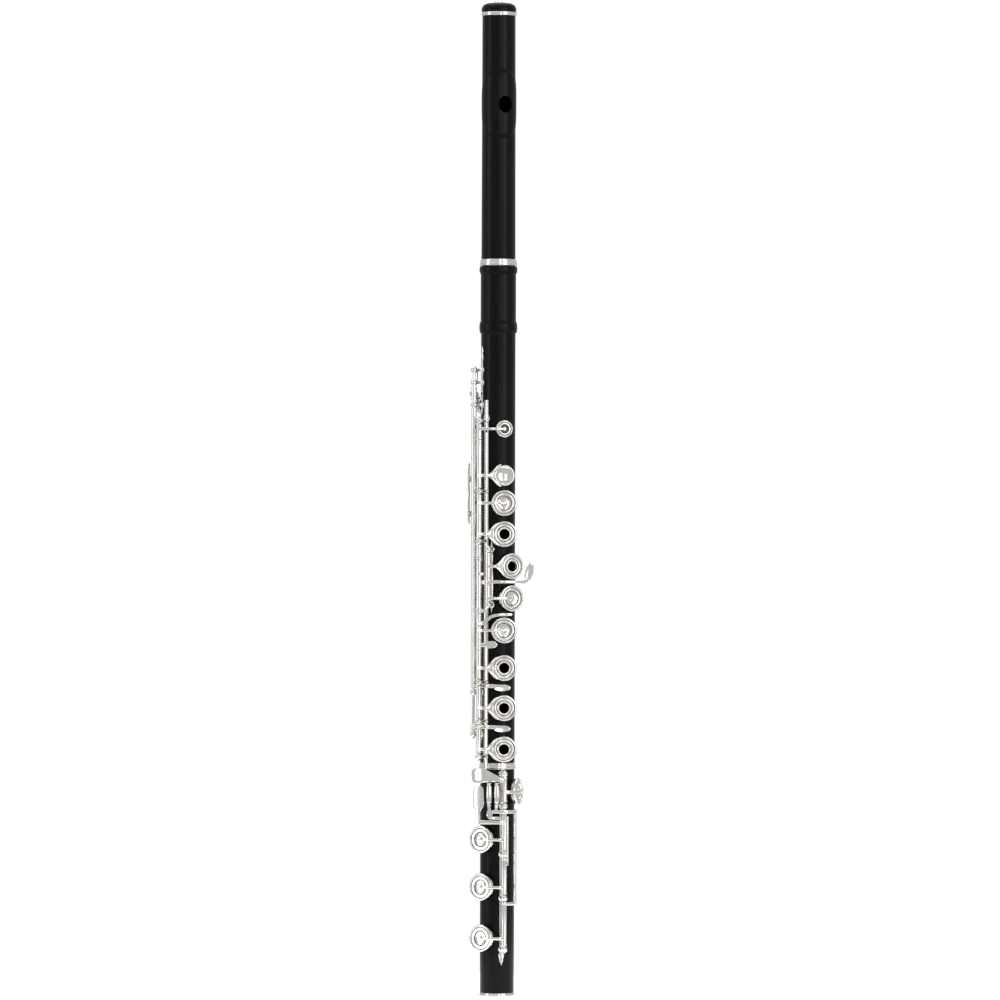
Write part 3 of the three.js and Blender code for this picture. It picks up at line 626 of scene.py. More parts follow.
def foot_wood():
    low, high = ends("foot_tube")
    outline = [(0, low), (FOOT_R, low), (FOOT_R, high), (0, high)]
    pads = [("pad_foot_c_sharp", 8.6, 7.2), ("pad_foot_c", 8.6, 7.2), ("pad_foot_b", 8.6, 7.2)]
    holes = [(FOOT_CUP_ANGLE, middle(name), r, hole) for name, r, hole in pads]
    holes.append((FOOT_SIDE_ANGLE, middle("pad_foot_d_sharp"), 7.9, 6.4))
    obj = piece("foot_wood", [lathe(outline, 96, radius=0.3)], WOOD, "foot", "foot_tube")
    drilled(obj, [bore_cut(BORE_R, BORE_R, low - 2, high + 2)])
    drilled(obj, [pipe(11.3, high - 8.3, high + 2, (0, 0), 64, 0.01)])
    seats = piece("foot_tone_hole_seats", [seat(d, z, r) for d, z, r, _ in holes], WOOD, "foot")
    cutters = [tone_hole(d, z, hole) for d, z, _, hole in holes]
    drilled(seats, cutters)
    drilled(obj, cutters)


# Rings, crown and linings

def ring(name, profile, material, body, node):
    return piece(name, [lathe(profile, 96, closed=True, radius=0.35)], material, body, node)


def rings():
    z0, z1 = ends("head_ring")
    ring("head_end_ring", [
        (12.35, z0), (13.3, z0), (13.38, z0 + 1), (13.3, z0 + 2.0), (12.8, z0 + 2.2), (12.95, z0 + 2.5),
        (12.95, z1 - 0.2), (12.6, z1), (12.35, z1),
    ], SILVER, "head_ring", "head_ring")
    z0, z1 = ends("foot_socket_ring")
    ring("foot_top_ring", [
        (11.35, z0), (13.0, z0), (13.2, z0 + 1.0), (13.0, z0 + 2.0), (12.65, z0 + 2.2), (12.85, z0 + 2.5),
        (12.8, z1), (11.35, z1),
    ], SILVER, "foot_ring", "foot_socket_ring")
    z0, z1 = ends("foot_bottom_ring")
    ring("foot_end_ring", [
        (BORE_R + 0.02, z0), (12.55, z0), (12.98, z0 + 0.9), (12.98, z1 - 1.4), (12.6, z1 - 1.0), (12.55, z1),
        (BORE_R + 0.02, z1),
    ], SILVER, "foot", "foot_bottom_ring")
    z0, z1 = ends("crown_ring")
    ring("crown_band", [
        (11.75, z0), (12.5, z0), (12.72, z0 + 0.7), (12.5, z0 + 1.35), (12.72, z0 + 2.0), (12.5, z1), (11.75, z1),
    ], SILVER, "crown", "crown_ring")
    z0, z1 = ends("body_socket_lining")
    ring("socket_lining", [(10.85, z0), (11.25, z0), (11.25, z1), (10.85, z1)], SILVER, "body", "body_socket_lining")
    z0, z1 = ends("body_tenon")
    ring("body_tenon_sleeve", [(9.65, z0), (10.6, z0), (10.7, z0 + 1), (10.7, z1), (9.65, z1)], SILVER, "body",
         "body_tenon")
    z0, z1 = ends("head_tenon")
    ring("head_tenon_sleeve", [(9.7, z0), (10.5, z0), (10.6, z0 + 1), (10.6, z1), (9.7, z1)], SILVER, "head",
         "head_tenon")


def crown():
    z0, z1 = ends("crown_cap")
    top = z1
    cap = lathe([
        (2.4, z0), (7.9, z0), (7.9, top - 10.7), (11.4, top - 10.7), (11.4, top - 7.9), (12.5, top - 7.7),
        (12.55, top - 6.6), (12.3, top - 4.9), (11.2, top - 3.0), (8.6, top - 1.75), (4.0, top - 1.3), (0, top - 1.25),
    ], 96, radius=0.5)
    piece("crown_cap_wood", [cap], WOOD, "crown", "crown_cap")
    button = lathe([(0, top - 2.0), (3.2, top - 2.0), (3.3, top - 0.9), (2.5, top - 0.25), (0, top)], 48, radius=0.4)
    piece("crown_button", [button], SILVER, "crown")


def stopper():
    z0, z1 = ends("stopper_cork")
    ring("stopper_cork_plug", [(2.4, z0), (8.3, z0), (8.45, z0 + 1), (8.45, z1 - 1), (8.3, z1), (2.4, z1)], CORK,
         "stopper", "stopper_cork")
    z0, z1 = ends("stopper_screw")
    shape = lathe([
        (0, z0), (8.2, z0), (8.3, z0 + 0.4), (8.3, z0 + 1.8), (2.05, z0 + 2.0), (2.05, z0 + 18.4), (8.1, z0 + 18.4),
        (8.1, z0 + 19.7), (2.05, z0 + 19.7), (2.05, z1), (0, z1),
    ], 64, radius=0.2)
    piece("stopper_rod", [shape], SILVER, "stopper", "stopper_screw")


# Ribs, posts and steels

def post(deg, rod_r, z, foot):
    stem = outward(lathe([
        (0, foot), (2.3, foot), (2.3, foot + 0.5), (1.5, foot + 0.9), (1.0, foot + 1.9), (0.95, rod_r - 3.0),
        (1.25, rod_r - 2.2), (1.2, rod_r - 1.4), (0, rod_r - 1.4),
    ], 24, radius=0.3), deg, z)
    return [stem, ball(2.35, (*polar(deg, rod_r), z))]


def needle(deg, rod_r, z, reach):
    """A blued spring from a post, running just inside the key tube."""
    x, y = polar(deg, rod_r - 2.85)
    return bar([(x, y, z, 0.34, 0.34), (x, y, z + reach * 0.5, 0.28, 0.28), (x, y, z + reach, 0.16, 0.16)], 3)


def ribs():
    def rib(name, node, body, deg, rod_r, half, posts, inner, springs, post_deg=None):
        z0, z1 = ends(node)
        neck = half * 0.7
        shapes = [strap([
            (z0, 0.05), (z0 + 3.5, half * 0.55), (z0 + 7, half), (z0 + 8.4, half), (z0 + 9.6, half * 0.55),
            (z0 + 12, neck), (z1 - 12, neck), (z1 - 9.6, half * 0.55), (z1 - 8.4, half), (z1 - 7, half),
            (z1 - 3.5, half * 0.55), (z1, 0.05),
        ], inner, inner + 1.0, deg)]
        stem = deg if post_deg is None else post_deg
        for z in posts:
            shapes += post(stem, rod_r, z, inner + 0.35)
        piece(name, shapes, SILVER, body, node)
        piece(name + "_springs", [needle(stem, rod_r, z, reach) for z, reach in springs], BLUED, body)

    low, high = ends("main_rib")
    rib("main_rib_and_posts", "main_rib", "body", ROD_ANGLE, ROD_R, 2.6,
        [low + 4, low + 29.2, low + 57.3, low + 158.8, low + 194.5, high - 9.4], BODY_R + 0.1,
        [(low + 4, 10), (low + 29.2, 10), (low + 57.3, -10), (low + 57.3, 11), (low + 158.8, 10), (low + 194.5, -10),
         (high - 9.4, -11)])
    low, high = ends("g_rib")
    rib("g_rib_and_posts", "g_rib", "body", G_ROD_ANGLE, ROD_R, 1.3, [low + 6.3, high - 6.7], BODY_R + 0.1,
        [(low + 6.3, 9), (high - 6.7, -10)])
    low, high = ends("trill_rib")
    rib("trill_rib_and_posts", "trill_rib", "body", TRILL_ANGLE - 2, TRILL_R, 1.5, [low + 7, low + 23, low + 32],
        BODY_R + 0.1, [(low + 7, 9), (low + 32, -8)], TRILL_ANGLE)
    low, high = ends("trill_strap")
    rib("trill_strap_and_posts", "trill_strap", "body", TRILL_ANGLE - 2, TRILL_R, 1.5, [low + 6.3, low + 36.4],
        BODY_R + 0.1, [(low + 6.3, 9), (low + 36.4, -9)], TRILL_ANGLE)
    low, high = ends("thumb_rib")
    rib("thumb_rib_and_posts", "thumb_rib", "body", THUMB_ANGLE, THUMB_ROD_R, 1.8, [low + 8, high - 7], BODY_R + 0.1,
        [(low + 8, 9), (high - 7, -9)])
    low, high = ends("foot_rib")
    rib("foot_rib_and_posts", "foot_rib", "foot", FOOT_ROD_ANGLE, ROD_R, 1.8,
        [low + 11.9, low + 48.6, low + 80.3, low + 114.9, high - 2.6], FOOT_R + 0.1,
        [(low + 11.9, 10), (low + 48.6, -10), (low + 80.3, 9), (low + 114.9, -10)])


def steels():
    rods = [
        ("left_hand_steel", "body", ROD_ANGLE, ROD_R), ("right_hand_steel", "body", ROD_ANGLE, ROD_R),
        ("g_steel", "body", G_ROD_ANGLE, ROD_R), ("thumb_steel", "body", THUMB_ANGLE, THUMB_ROD_R),
        ("foot_steel", "foot", FOOT_ROD_ANGLE, ROD_R),
    ]
    for node, body, deg, rod_r in rods:
        z0, z1 = ends(node)
        centre = polar(deg, rod_r)
        shape = lathe([
            (0, z0), (0.55, z0), (0.85, z0 + 0.5), (STEEL_R, z0 + 0.6), (STEEL_R, z1 - 0.3), (0.8, z1), (0.25, z1),
            (0.25, z1 - 0.4), (0, z1 - 0.4),
        ], 24, radius=0.08)
        piece(node + "_rod", [shifted(shape, *centre)], STEEL, body, node)


# Keys

def cup(deg, z, r, is_open):
    wall = [(r - 0.7, 15.2), (r - 0.7, 13.75), (r - 0.25, 13.6), (r, 13.9), (r, 16.0), (r - 0.3, 16.65)]
    band = [(r - 1.0, 16.85), (r - 1.35, 16.7), (r - 1.6, 15.95), (r - 1.95, 16.5), (r - 2.5, 16.75), (6.0, 16.75)]
    if is_open:
        rim = [(5.55, 16.5), (5.25, 15.9), (4.95, 16.7), (4.5, 17.15), (3.9, 17.1), (3.6, 16.6)]
        return outward(lathe([(3.6, 15.2), *wall, *band, *rim], 64, closed=True, radius=0.22), deg, z)
    well = [(5.5, 16.6), (5.15, 15.8), (4.7, 16.05), (3.4, 15.7), (1.9, 15.6), (1.6, 16.8), (1.0, 17.5), (0, 17.65)]
    return outward(lathe([(0, 15.2), *wall, *band, *well], 64, radius=0.22), deg, z)


def painted_groove_shade_rings(deg, z, r, spans=None):
    """Dark rings of painted shade, laid in the turned hollows of a cup."""
    rings = []
    for inner, outer in spans or ((r - 1.95, r - 1.3), (4.85, 5.5)):
        rings.append(outward(lathe([
            (inner, 15.9), (outer, 15.9), (outer, 16.42), (inner, 16.42),
        ], 64, closed=True, radius=0.08), deg, z))
    return rings


def small_cup(deg, z, r):
    profile = [
        (0, 12.95), (r - 0.5, 12.95), (r - 0.3, 13.6), (r, 13.7), (r, 15.8), (r - 0.35, 16.5), (r - 0.9, 16.75),
        (r - 1.25, 16.6), (r - 1.5, 15.9), (r - 1.9, 16.3), (r - 2.8, 16.4), (r - 3.1, 15.8), (1.7, 15.75), (1.4, 16.7),
        (0.8, 17.2), (0, 17.3),
    ]
    return outward(lathe(profile, 56, radius=0.2), deg, z)


def pad_shape(deg, z, r, is_open):
    inner = 4.2 if is_open else 0.0
    edge = r - 0.9
    profile = [(inner, 13.0), (edge - 0.5, 12.96), (edge, 13.5), (edge, 15.0), (inner, 15.0)]
    return outward(lathe(profile, 56, closed=is_open, radius=0.35), deg, z)


def arm(rod_deg, rod_r, cup_deg, z, r, style):
    """An arm from the rod to a cup, worked out with the cup facing the front."""
    xr, yr = polar(rod_deg - cup_deg, rod_r)
    s = math.copysign(1, xr)
    start = [(xr + s * 0.3, yr - 1.3, 1.5, 0.6), (xr - s * 3, yr - 4.1, 1.05, 0.75)]
    if style == "pointed":
        path = start + [
            (s * 9.4, -17.15, 0.95, 0.75), (s * 6, -17.55, 1.05, 0.75), (s * 3, -17.6, 0.85, 0.7),
            (s * 0.2, -17.45, 0.5, 0.5),
        ]
        return [turned(flat(path, z), cup_deg)]
    web = start + [
        (s * (r + 2.2), -16.0, 1.5, 0.7), (s * (r - 0.6), -16.2, 4.6, 0.45), (s * (r - 1.6), -16.1, 5.6, 0.35),
    ]
    prongs = []
    for side in (-1, 1):
        rows = [
            (s * (r + 3.4), -15.7, z + side * 0.5, 0.7, 0.7), (s * (r + 0.6), -16.5, z + side * 2.9, 0.75, 0.65),
            (s * (r - 2.4), -16.8, z + side * 6.2, 0.75, 0.5), (s * (r - 4.8), -16.75, z + side * 7.9, 0.4, 0.35),
        ]
        prongs.append(turned(bar(rows, across=(0, -1, 0)), cup_deg))
    return [turned(flat(web, z), cup_deg), *prongs]


def hub(z0, z1, centre):
    """A key tube with a turned collar at each end."""
    profile = [
        (0, z0), (TUBE_R, z0), (TUBE_R, z0 + 1.3), (TUBE_R - 0.18, z0 + 1.5), (TUBE_R - 0.18, z1 - 1.5),
        (TUBE_R, z1 - 1.3), (TUBE_R, z1), (0, z1),
    ]
    return shifted(lathe(profile, 32, radius=0.12), *centre)


def collar(z0, z1, centre):
    mid = (z0 + z1) / 2
    profile = [
        (0, z0), (2.5, z0), (2.6, z0 + 0.5), (2.25, mid - 0.4), (2.25, mid + 0.4), (2.6, z1 - 0.5), (2.5, z1), (0, z1),
    ]
    return shifted(lathe(profile, 32, radius=0.15), *centre)


def rest(shapes, deg, centre):
    return [turned(shape, deg, centre) for shape in shapes]


def front_keys():
    main = pivot("a_key_turn")
    for name, is_open in BODY_CUPS:
        node = name + "_key"
        z = middle("pad_" + name)
        z1 = ends(node)[1]
        tube = {
            "a_sharp": (z - 8.9, z + 5.7), "a": (z - 2.4, z + 13.0), "f_sharp": (z - 6.7, z + 2.8),
            "f": (z - 7.8, z1), "e": (z - 7.1, z1), "d": (z - 2.7, z1),
        }[name]
        style = "forked" if is_open else "pointed"
        shapes = [cup(CUP_ANGLE, z, CUP_R, is_open), *arm(ROD_ANGLE, ROD_R, CUP_ANGLE, z, CUP_R, style)]
        shapes = rest(shapes, -OPEN_DEG, main) + [hub(*tube, main)]
        piece(node + "_silver", shapes, SILVER, node, node)
        piece(node + "_painted_groove_shade", rest(painted_groove_shade_rings(CUP_ANGLE, z, CUP_R), -OPEN_DEG, main), GROOVE_SHADE_PAINT, node)
        pad_name = "pad_" + name
        piece(pad_name + "_skin", rest([pad_shape(CUP_ANGLE, z, CUP_R, is_open)], -OPEN_DEG, main), PAD, node, pad_name)


def c_sharp_key():
    main = pivot("a_key_turn")
    z0, z1 = ends("c_sharp_key")
    z = C_SHARP_Z
    dish = outward(lathe([
        (0, 14.9), (6.2, 14.9), (7.4, 15.4), (7.5, 16.4), (7.1, 17.0), (6.5, 17.05), (5.6, 16.4), (4.0, 15.75),
        (2.0, 15.4), (0, 15.3),
    ], 64, radius=0.5), CUP_ANGLE, z)
    base = outward(lathe([(0, 13.0), (4.6, 13.0), (4.9, 13.5), (4.9, 15.2), (0, 15.2)], 48), CUP_ANGLE, z)
    shapes = [dish, base, *arm(ROD_ANGLE, ROD_R, CUP_ANGLE, z, 7.5, "forked")]
    shapes = rest(shapes, -OPEN_DEG, main) + [hub(z0, z1, main)]
    piece("c_sharp_key_silver", shapes, SILVER, "c_sharp_key", "c_sharp_key")


def g_keys():
    centre = pivot("g_key_turn")
    for node, is_open, style in (("g_key", True, "forked"), ("lower_g_key", False, "pointed")):
        pad_name = "pad_g" if node == "g_key" else "pad_lower_g"
        z = middle(pad_name)
        tube = (z - 8.2, z + 9.6) if node == "g_key" else (z - 2.0, z + 9.0)
        shapes = [cup(G_CUP_ANGLE, z, CUP_R, is_open), *arm(G_ROD_ANGLE, ROD_R, G_CUP_ANGLE, z, CUP_R, style)]
        shapes = rest(shapes, -OPEN_DEG, centre) + [hub(*tube, centre)]
        piece(node + "_silver", shapes, SILVER, node, node)
        piece(node + "_painted_groove_shade", rest(painted_groove_shade_rings(G_CUP_ANGLE, z, CUP_R), -OPEN_DEG, centre), GROOVE_SHADE_PAINT, node)
        shape = rest([pad_shape(G_CUP_ANGLE, z, CUP_R, is_open)], -OPEN_DEG, centre)
        piece(pad_name + "_skin", shape, PAD, node, pad_name)


def g_sharp_key():
    centre = pivot("g_key_turn")
    z = middle("g_sharp_key") + 2.15
    lever = bar([
        (*polar(G_ROD_ANGLE, 22.5), z - 1.2, 1.4, 0.7), (*polar(-8, 22.3), z, 1.2, 0.75),
        (*polar(10, 22.6), z, 1.0, 0.75), (*polar(34, 22.9), z, 0.95, 0.75), (*polar(53, 23.2), z - 0.1, 1.0, 0.7),
        (*polar(62, 23.8), z + 1.0, 1.1, 0.65), (*polar(65, 24.3), z + 3.0, 1.4, 0.55),
    ])
    paddle = moved(oval_disc(2.85, 6.85, -0.6, 0.6, 0.35), Matrix.Rotation(math.radians(14), 4, "Y"))
    paddle = shifted(paddle, 22.6, -10.6, z + 7.05)
    arc = [(*polar(deg, 15.6), 1.5, 0.6) for deg in (-30, -42, -54, -66, -78, -90, -102, -112)]
    under = flat([
        (*polar(-21, 19.4), 1.5, 0.65), (*polar(-25, 17.2), 1.5, 0.65), *arc, (*polar(-120, 16.7), 1.6, 0.65),
        (*polar(-131, 16.9), 1.1, 0.6),
    ], z - 0.4, 3)
    drop = bar([
        (*polar(-116, 16.9), z + 0.4, 1.6, 0.6), (*polar(-125, 17.2), z - 4, 2.2, 0.6),
        (*polar(REAR_CUP_ANGLE, 17.2), z - 9.5, 1.0, 0.4),
    ])
    shapes = [hub(z - 2.5, z + 2.5, centre), lever, paddle, under, drop, small_cup(REAR_CUP_ANGLE, REAR_G_Z, 8.2)]
    piece("g_sharp_key_silver", shapes, SILVER, "g_sharp_key", "g_sharp_key")


def split_e_lever():
    x, y = pivot("split_e_lever_turn")
    z0 = ends("split_e_lever")[0]
    finger = bar([
        (x, y - 1.5, z0 + 1.6, 1.4, 0.6), (x + 3.2, y - 3.6, z0 + 2.2, 1.4, 0.65), (-5, -20.8, z0 + 6.4, 1.1, 0.6),
        (0, -21.0, z0 + 7.9, 1.0, 0.6), (6, -20.3, z0 + 8.2, 1.0, 0.6), (10.2, -19.2, z0 + 8.2, 0.8, 0.5),
    ])
    piece("split_e_lever_silver", [hub(z0, z0 + 8.2, (x, y)), finger], SILVER, "split_e_lever", "split_e_lever")


def b_flat_lever():
    x, y = pivot("b_flat_lever_turn")
    z0, z1 = ends("b_flat_lever")
    bridge = bar([(x + 4.8, y - 0.2, z0 + 3, 0.9, 0.7), (x + 4.8, y - 0.2, z0 + 29.4, 0.9, 0.7)], 2)
    lugs = [flat([(x + 1.4, y, 1.3, 0.9), (x + 5.4, y - 0.2, 1.1, 0.7)], z0 + h, 2) for h in (3.8, 28.4)]
    carry = flat([(x, y - 1.5, 1.5, 0.6), (x + 4, y - 3.5, 1.5, 0.65), (-4.6, -20.5, 1.8, 0.5)], z0 + 4)
    touch = shifted(turned(oval_disc(5, 2.7, -0.6, 0.6), -14), -5, -20.6, z0 + 4.2)
    tab = flat([(x, y - 1.4, 1.1, 0.6), (x + 2.0, y - 3.0, 1.1, 0.65), (x + 3.2, y - 3.9, 1.0, 0.5)], z0 + 54.9)
    shapes = [
        hub(z0, z0 + 7.3, (x, y)), hub(z0 + 26.4, z1, (x, y)), bridge, *lugs, carry, touch, tab,
        collar(z0 + 64.2, z0 + 68, (x, y)), collar(z0 + 27, z0 + 30.4, (x, y)),
    ]
    piece("b_flat_lever_silver", shapes, SILVER, "b_flat_lever", "b_flat_lever")


def trill_arm(axis, z):
    return flat([
        (axis[0] + 1.2, axis[1] + 0.2, 1.3, 0.65), (-14.2, -11.0, 1.3, 0.65), (-11.0, -12.3, 1.3, 0.65),
        (-7.5, -14.6, 1.3, 0.65), (-3, -16.9, 1.4, 0.65), (1.6, -17.6, 1.2, 0.5),
    ], z)


def trill_touch(z):
    return shifted(turned(oval_disc(6.05, 2.45, 17.15, 18.3), 4), 2.2, 0.1, z)


def trill_keys():
    axis = pivot("d_trill_lever_turn")
    main = pivot("d_trill_cup_turn")
    gap = math.hypot(main[0] - axis[0], main[1] - axis[1])
    ux, uy = (main[0] - axis[0]) / gap, (main[1] - axis[1]) / gap

    def point(d, off):
        return axis[0] + ux * d + uy * off, axis[1] + uy * d - ux * off

    low = ends("d_trill_cup")[0]
    mid_z = low + 6
    z0, z1 = ends("d_trill_lever")
    nose = flat([(*point(1.6, 0.85), 1.4, 0.55), (*point(4.3, 0.85), 1.3, 0.5)], mid_z, 2)
    shapes = [hub(z0 + 2.1, z1, axis), nose, trill_arm(axis, z0 + 3.7), trill_touch(z0 + 2.5)]
    piece("d_trill_lever_silver", shapes, SILVER, "d_trill_lever", "d_trill_lever")
    tail = flat([(*point(5.6, -0.65), 1.4, 0.55), (*point(2.7, -0.65), 1.3, 0.5)], mid_z, 2)
    shapes = [
        hub(low, low + 10.2, main), tail, small_cup(CUP_ANGLE, D_TRILL_Z, 6.3),
        *arm(ROD_ANGLE, ROD_R, CUP_ANGLE, D_TRILL_Z, 6.3, "pointed"),
    ]
    piece("d_trill_cup_silver", shapes, SILVER, "d_trill_cup", "d_trill_cup")
    rings = painted_groove_shade_rings(CUP_ANGLE, D_TRILL_Z, 6.3, ((4.55, 5.05), (1.8, 3.2)))
    piece("d_trill_cup_painted_groove_shade", rings, GROOVE_SHADE_PAINT, "d_trill_cup")
    z0, z1 = ends("d_sharp_trill_key")
    z = D_SHARP_TRILL_Z
    cup_arm = flat([
        (axis[0] - 1, axis[1] + 1, 1.5, 0.65), (*polar(-75, 20.6), 1.5, 0.65), (*polar(-92, 18.6), 1.5, 0.65),
        (*polar(-108, 17.4), 1.6, 0.65), (*polar(-123, 17.1), 1.2, 0.6),
    ], z + 8)
    drop = bar([(*polar(-116, 17.2), z + 9, 1.5, 0.6), (*polar(-124, 17.3), z + 4.5, 2.0, 0.6),
                (*polar(REAR_CUP_ANGLE, 17.1), z - 1, 0.9, 0.4)])
    shapes = [
        pipe(STEEL_R, z0, z1, axis), hub(z0 + 5.9, z0 + 10.8, axis), hub(z + 3.2, z + 12.8, axis), cup_arm, drop,
        small_cup(REAR_CUP_ANGLE, z, 6.3), trill_arm(axis, z0 + 8.4), trill_touch(z0 + 7.2),
    ]
    piece("d_sharp_trill_silver", shapes, SILVER, "d_sharp_trill", "d_sharp_trill_key")


def thumb_keys():
    x, y = pivot("thumb_b_key_turn")
    for node, tube, touch in (("thumb_b_key", (-13.3, 10.6), (-7, 11)), ("thumb_b_flat_key", (-9, 16.3), (-6, 13))):
        z = THUMB_Z[node]
        mid = z + (tube[0] + tube[1]) / 2
        link = flat([(x - 1.2, y + 0.8, 1.7, 0.6), (x - 3.2, y + 3.6, 2.1, 0.55)], mid, 3)
        plate = bar([
            (-20.2, 5.2, z + touch[0], 1.9, 0.55), (-20.4, 5.4, z + touch[0] + 2, 3.0, 0.6),
            (-20.4, 5.4, z + touch[1] - 2, 3.0, 0.6), (-20.2, 5.2, z + touch[1], 1.9, 0.55),
        ])
        shapes = [link, plate, cup(THUMB_CUP_ANGLE, z, 8.3, False),
                  pad_shape(THUMB_CUP_ANGLE, z, 8.3, False),
                  *arm(THUMB_ANGLE, THUMB_ROD_R, THUMB_CUP_ANGLE, z, 8.3, "pointed")]
        skin = shapes.pop(3)
        shapes = rest(shapes, OPEN_DEG, (x, y)) + [hub(z + tube[0], z + tube[1], (x, y))]
        piece(node + "_silver", shapes, SILVER, node, node)
        piece(node + "_pad_skin", rest([skin], OPEN_DEG, (x, y)), PAD, node)


# Foot keys

def foot_key(node, pad_name, tube, extras):
    centre = pivot(node + "_turn")
    z = middle(pad_name)
    shapes = [
        cup(FOOT_CUP_ANGLE, z, FOOT_CUP_R, False),
        *arm(FOOT_ROD_ANGLE, ROD_R, FOOT_CUP_ANGLE, z, FOOT_CUP_R, "pointed"), *extras,
    ]
    shapes = rest(shapes, OPEN_DEG, centre) + [hub(z + tube[0], z + tube[1], centre)]
    piece(node + "_silver", shapes, SILVER, node, node)
    piece(node + "_painted_groove_shade", rest(painted_groove_shade_rings(FOOT_CUP_ANGLE, z, FOOT_CUP_R), OPEN_DEG, centre), GROOVE_SHADE_PAINT, node)
    skin = rest([pad_shape(FOOT_CUP_ANGLE, z, FOOT_CUP_R, False)], OPEN_DEG, centre)
    piece(pad_name + "_skin", skin, PAD, node, pad_name)


ROLLER_C = (-6.0, -21.3)
ROLLER_B = (-0.6, -22.6)


def cradle(x, y, z0, z1):
    cheeks = []
    for z in (z0 - 1.3, z1 + 1.3):
        cheeks.append(flat([(x - 1.3, y + 0.1, 0.45, 1.25), (x + 1.3, y - 0.1, 0.45, 1.25)], z, 2))
        cheeks.append(flat([(x, y, 0.45, 1.15), (x, y + 3.3, 0.45, 1.15)], z, 2))
    back = bar([(x, y + 3.0, z0 - 1.7, 1.2, 0.5), (x, y + 3.0, z1 + 1.7, 1.2, 0.5)], 2)
    return [*cheeks, back, pipe(0.55, z0 - 1.3, z1 + 1.3, (x, y), 16, 0.1)]


def foot_keys():
    centre = pivot("foot_c_key_turn")
    x, y = centre
    r0, r1 = ends("roller_c")
    z = middle("pad_foot_c_sharp")
    carry = flat([
        (x, y - 1.5, 1.5, 0.6), (x - 4, y - 2.3, 1.4, 0.6), (-9.5, -19.6, 1.4, 0.6), (-13.2, -17.6, 1.6, 0.6),
    ], z + 12.6)
    plate = bar([
        (-13.0, -17.8, z + 11.2, 1.3, 0.6), (-13.2, -17.7, z + 20, 1.6, 0.6), (-13.2, -17.7, z + 24.4, 4.1, 0.6),
        (-13.2, -17.7, z + 30, 4.4, 0.6), (-13.2, -17.7, z + 35.6, 4.2, 0.6), (-13.2, -17.7, z + 38.4, 3.0, 0.55),
    ])
    foot_key("foot_c_sharp_key", "pad_foot_c_sharp", (-7.8, 21.6), [carry, plate])
    z = middle("pad_foot_c")
    run = bar([(*polar(27, 17.6), z + 15.6, 0.8, 0.8), (*polar(27, 17.6), z + 50.8, 0.8, 0.8)], 2)
    low = flat([(*polar(15.5, 19.9), 1.2, 0.7), (*polar(28, 17.4), 1.2, 0.7)], z + 17, 2)
    bend = ((28, 17.5), (20, 16.9), (8, 16.4), (-6, 16.8), (-14, 17.7))
    high = flat([(*polar(d, r), 1.1, 0.65) for d, r in bend], z + 49.6)
    cx, cy = ROLLER_C
    riser = bar([(cx + 1.6, cy + 4.0, z + 48.6, 1.1, 0.6), (cx, cy + 3.0, r0 - 0.8, 1.1, 0.5)], 3)
    foot_key("foot_c_key", "pad_foot_c", (-5.2, 21.2), [run, low, high, riser, *cradle(cx, cy, r0, r1)])
    z = middle("pad_foot_b")
    run = bar([(*polar(41, 20.4), z + 24.5, 0.9, 1.0), (*polar(41, 20.4), z + 92.3, 0.9, 1.0)], 2)
    low = flat([(*polar(19, 21), 1.2, 0.75), (*polar(42, 20.4), 1.2, 0.75)], z + 24.9, 2)
    bend = ((42, 20.6), (30, 23.2), (16, 25), (4, 24), (-4, 22.6), (-9, 21.6))
    high = flat([(*polar(d, r), 1.2, 0.65) for d, r in bend], z + 91.1)
    bx, by = ROLLER_B
    riser = bar([(bx - 0.4, by + 0.9, z + 90.3, 1.1, 0.6), (bx, by + 3.0, r0 - 0.8, 1.1, 0.5)], 3)
    drop = shifted(turned(oval_disc(2.2, 3.4, -0.6, 0.6), -14), -5.6, -21.2, z + 89.5)
    foot_key("foot_b_key", "pad_foot_b", (-5.2, 26.2), [run, low, high, riser, drop, *cradle(bx, by, r0, r1)])
    for name, spot in (("roller_c", ROLLER_C), ("roller_b", ROLLER_B)):
        mid = (r0 + r1) / 2
        shape = lathe([
            (0.85, r0), (1.4, r0), (1.75, r0 + 0.8), (2.0, mid - 2.5), (2.08, mid), (2.0, mid + 2.5), (1.75, r1 - 0.8),
            (1.4, r1), (0.85, r1),
        ], 32, closed=True, radius=0.3)
        piece(name + "_barrel", rest([shifted(shape, *spot)], OPEN_DEG, centre), SILVER, name, name)
    z = middle("pad_foot_d_sharp")
    fan = bar([
        (x - 1, y - 1.4, z + 8.2, 1.4, 0.6), (x - 4.2, y - 2.0, z + 9.2, 1.9, 0.6), (-9, -20.4, z + 11.6, 4.7, 0.6),
        (-13, -18.3, z + 11.6, 5.3, 0.6), (-16.4, -15.7, z + 11.6, 5.0, 0.6), (-17.9, -14.3, z + 11.4, 3.4, 0.55),
    ])
    shapes = [
        hub(z - 7.3, z + 11.1, centre), fan, cup(FOOT_SIDE_ANGLE, z, 9.4, False),
        *arm(FOOT_ROD_ANGLE, ROD_R, FOOT_SIDE_ANGLE, z, 9.4, "pointed"),
    ]
    piece("foot_d_sharp_key_silver", shapes, SILVER, "foot_d_sharp_key", "foot_d_sharp_key")
    skin = [pad_shape(FOOT_SIDE_ANGLE, z, 9.4, False)]
    piece("pad_foot_d_sharp_skin", skin, PAD, "foot_d_sharp_key", "pad_foot_d_sharp")


# Room, light and camera

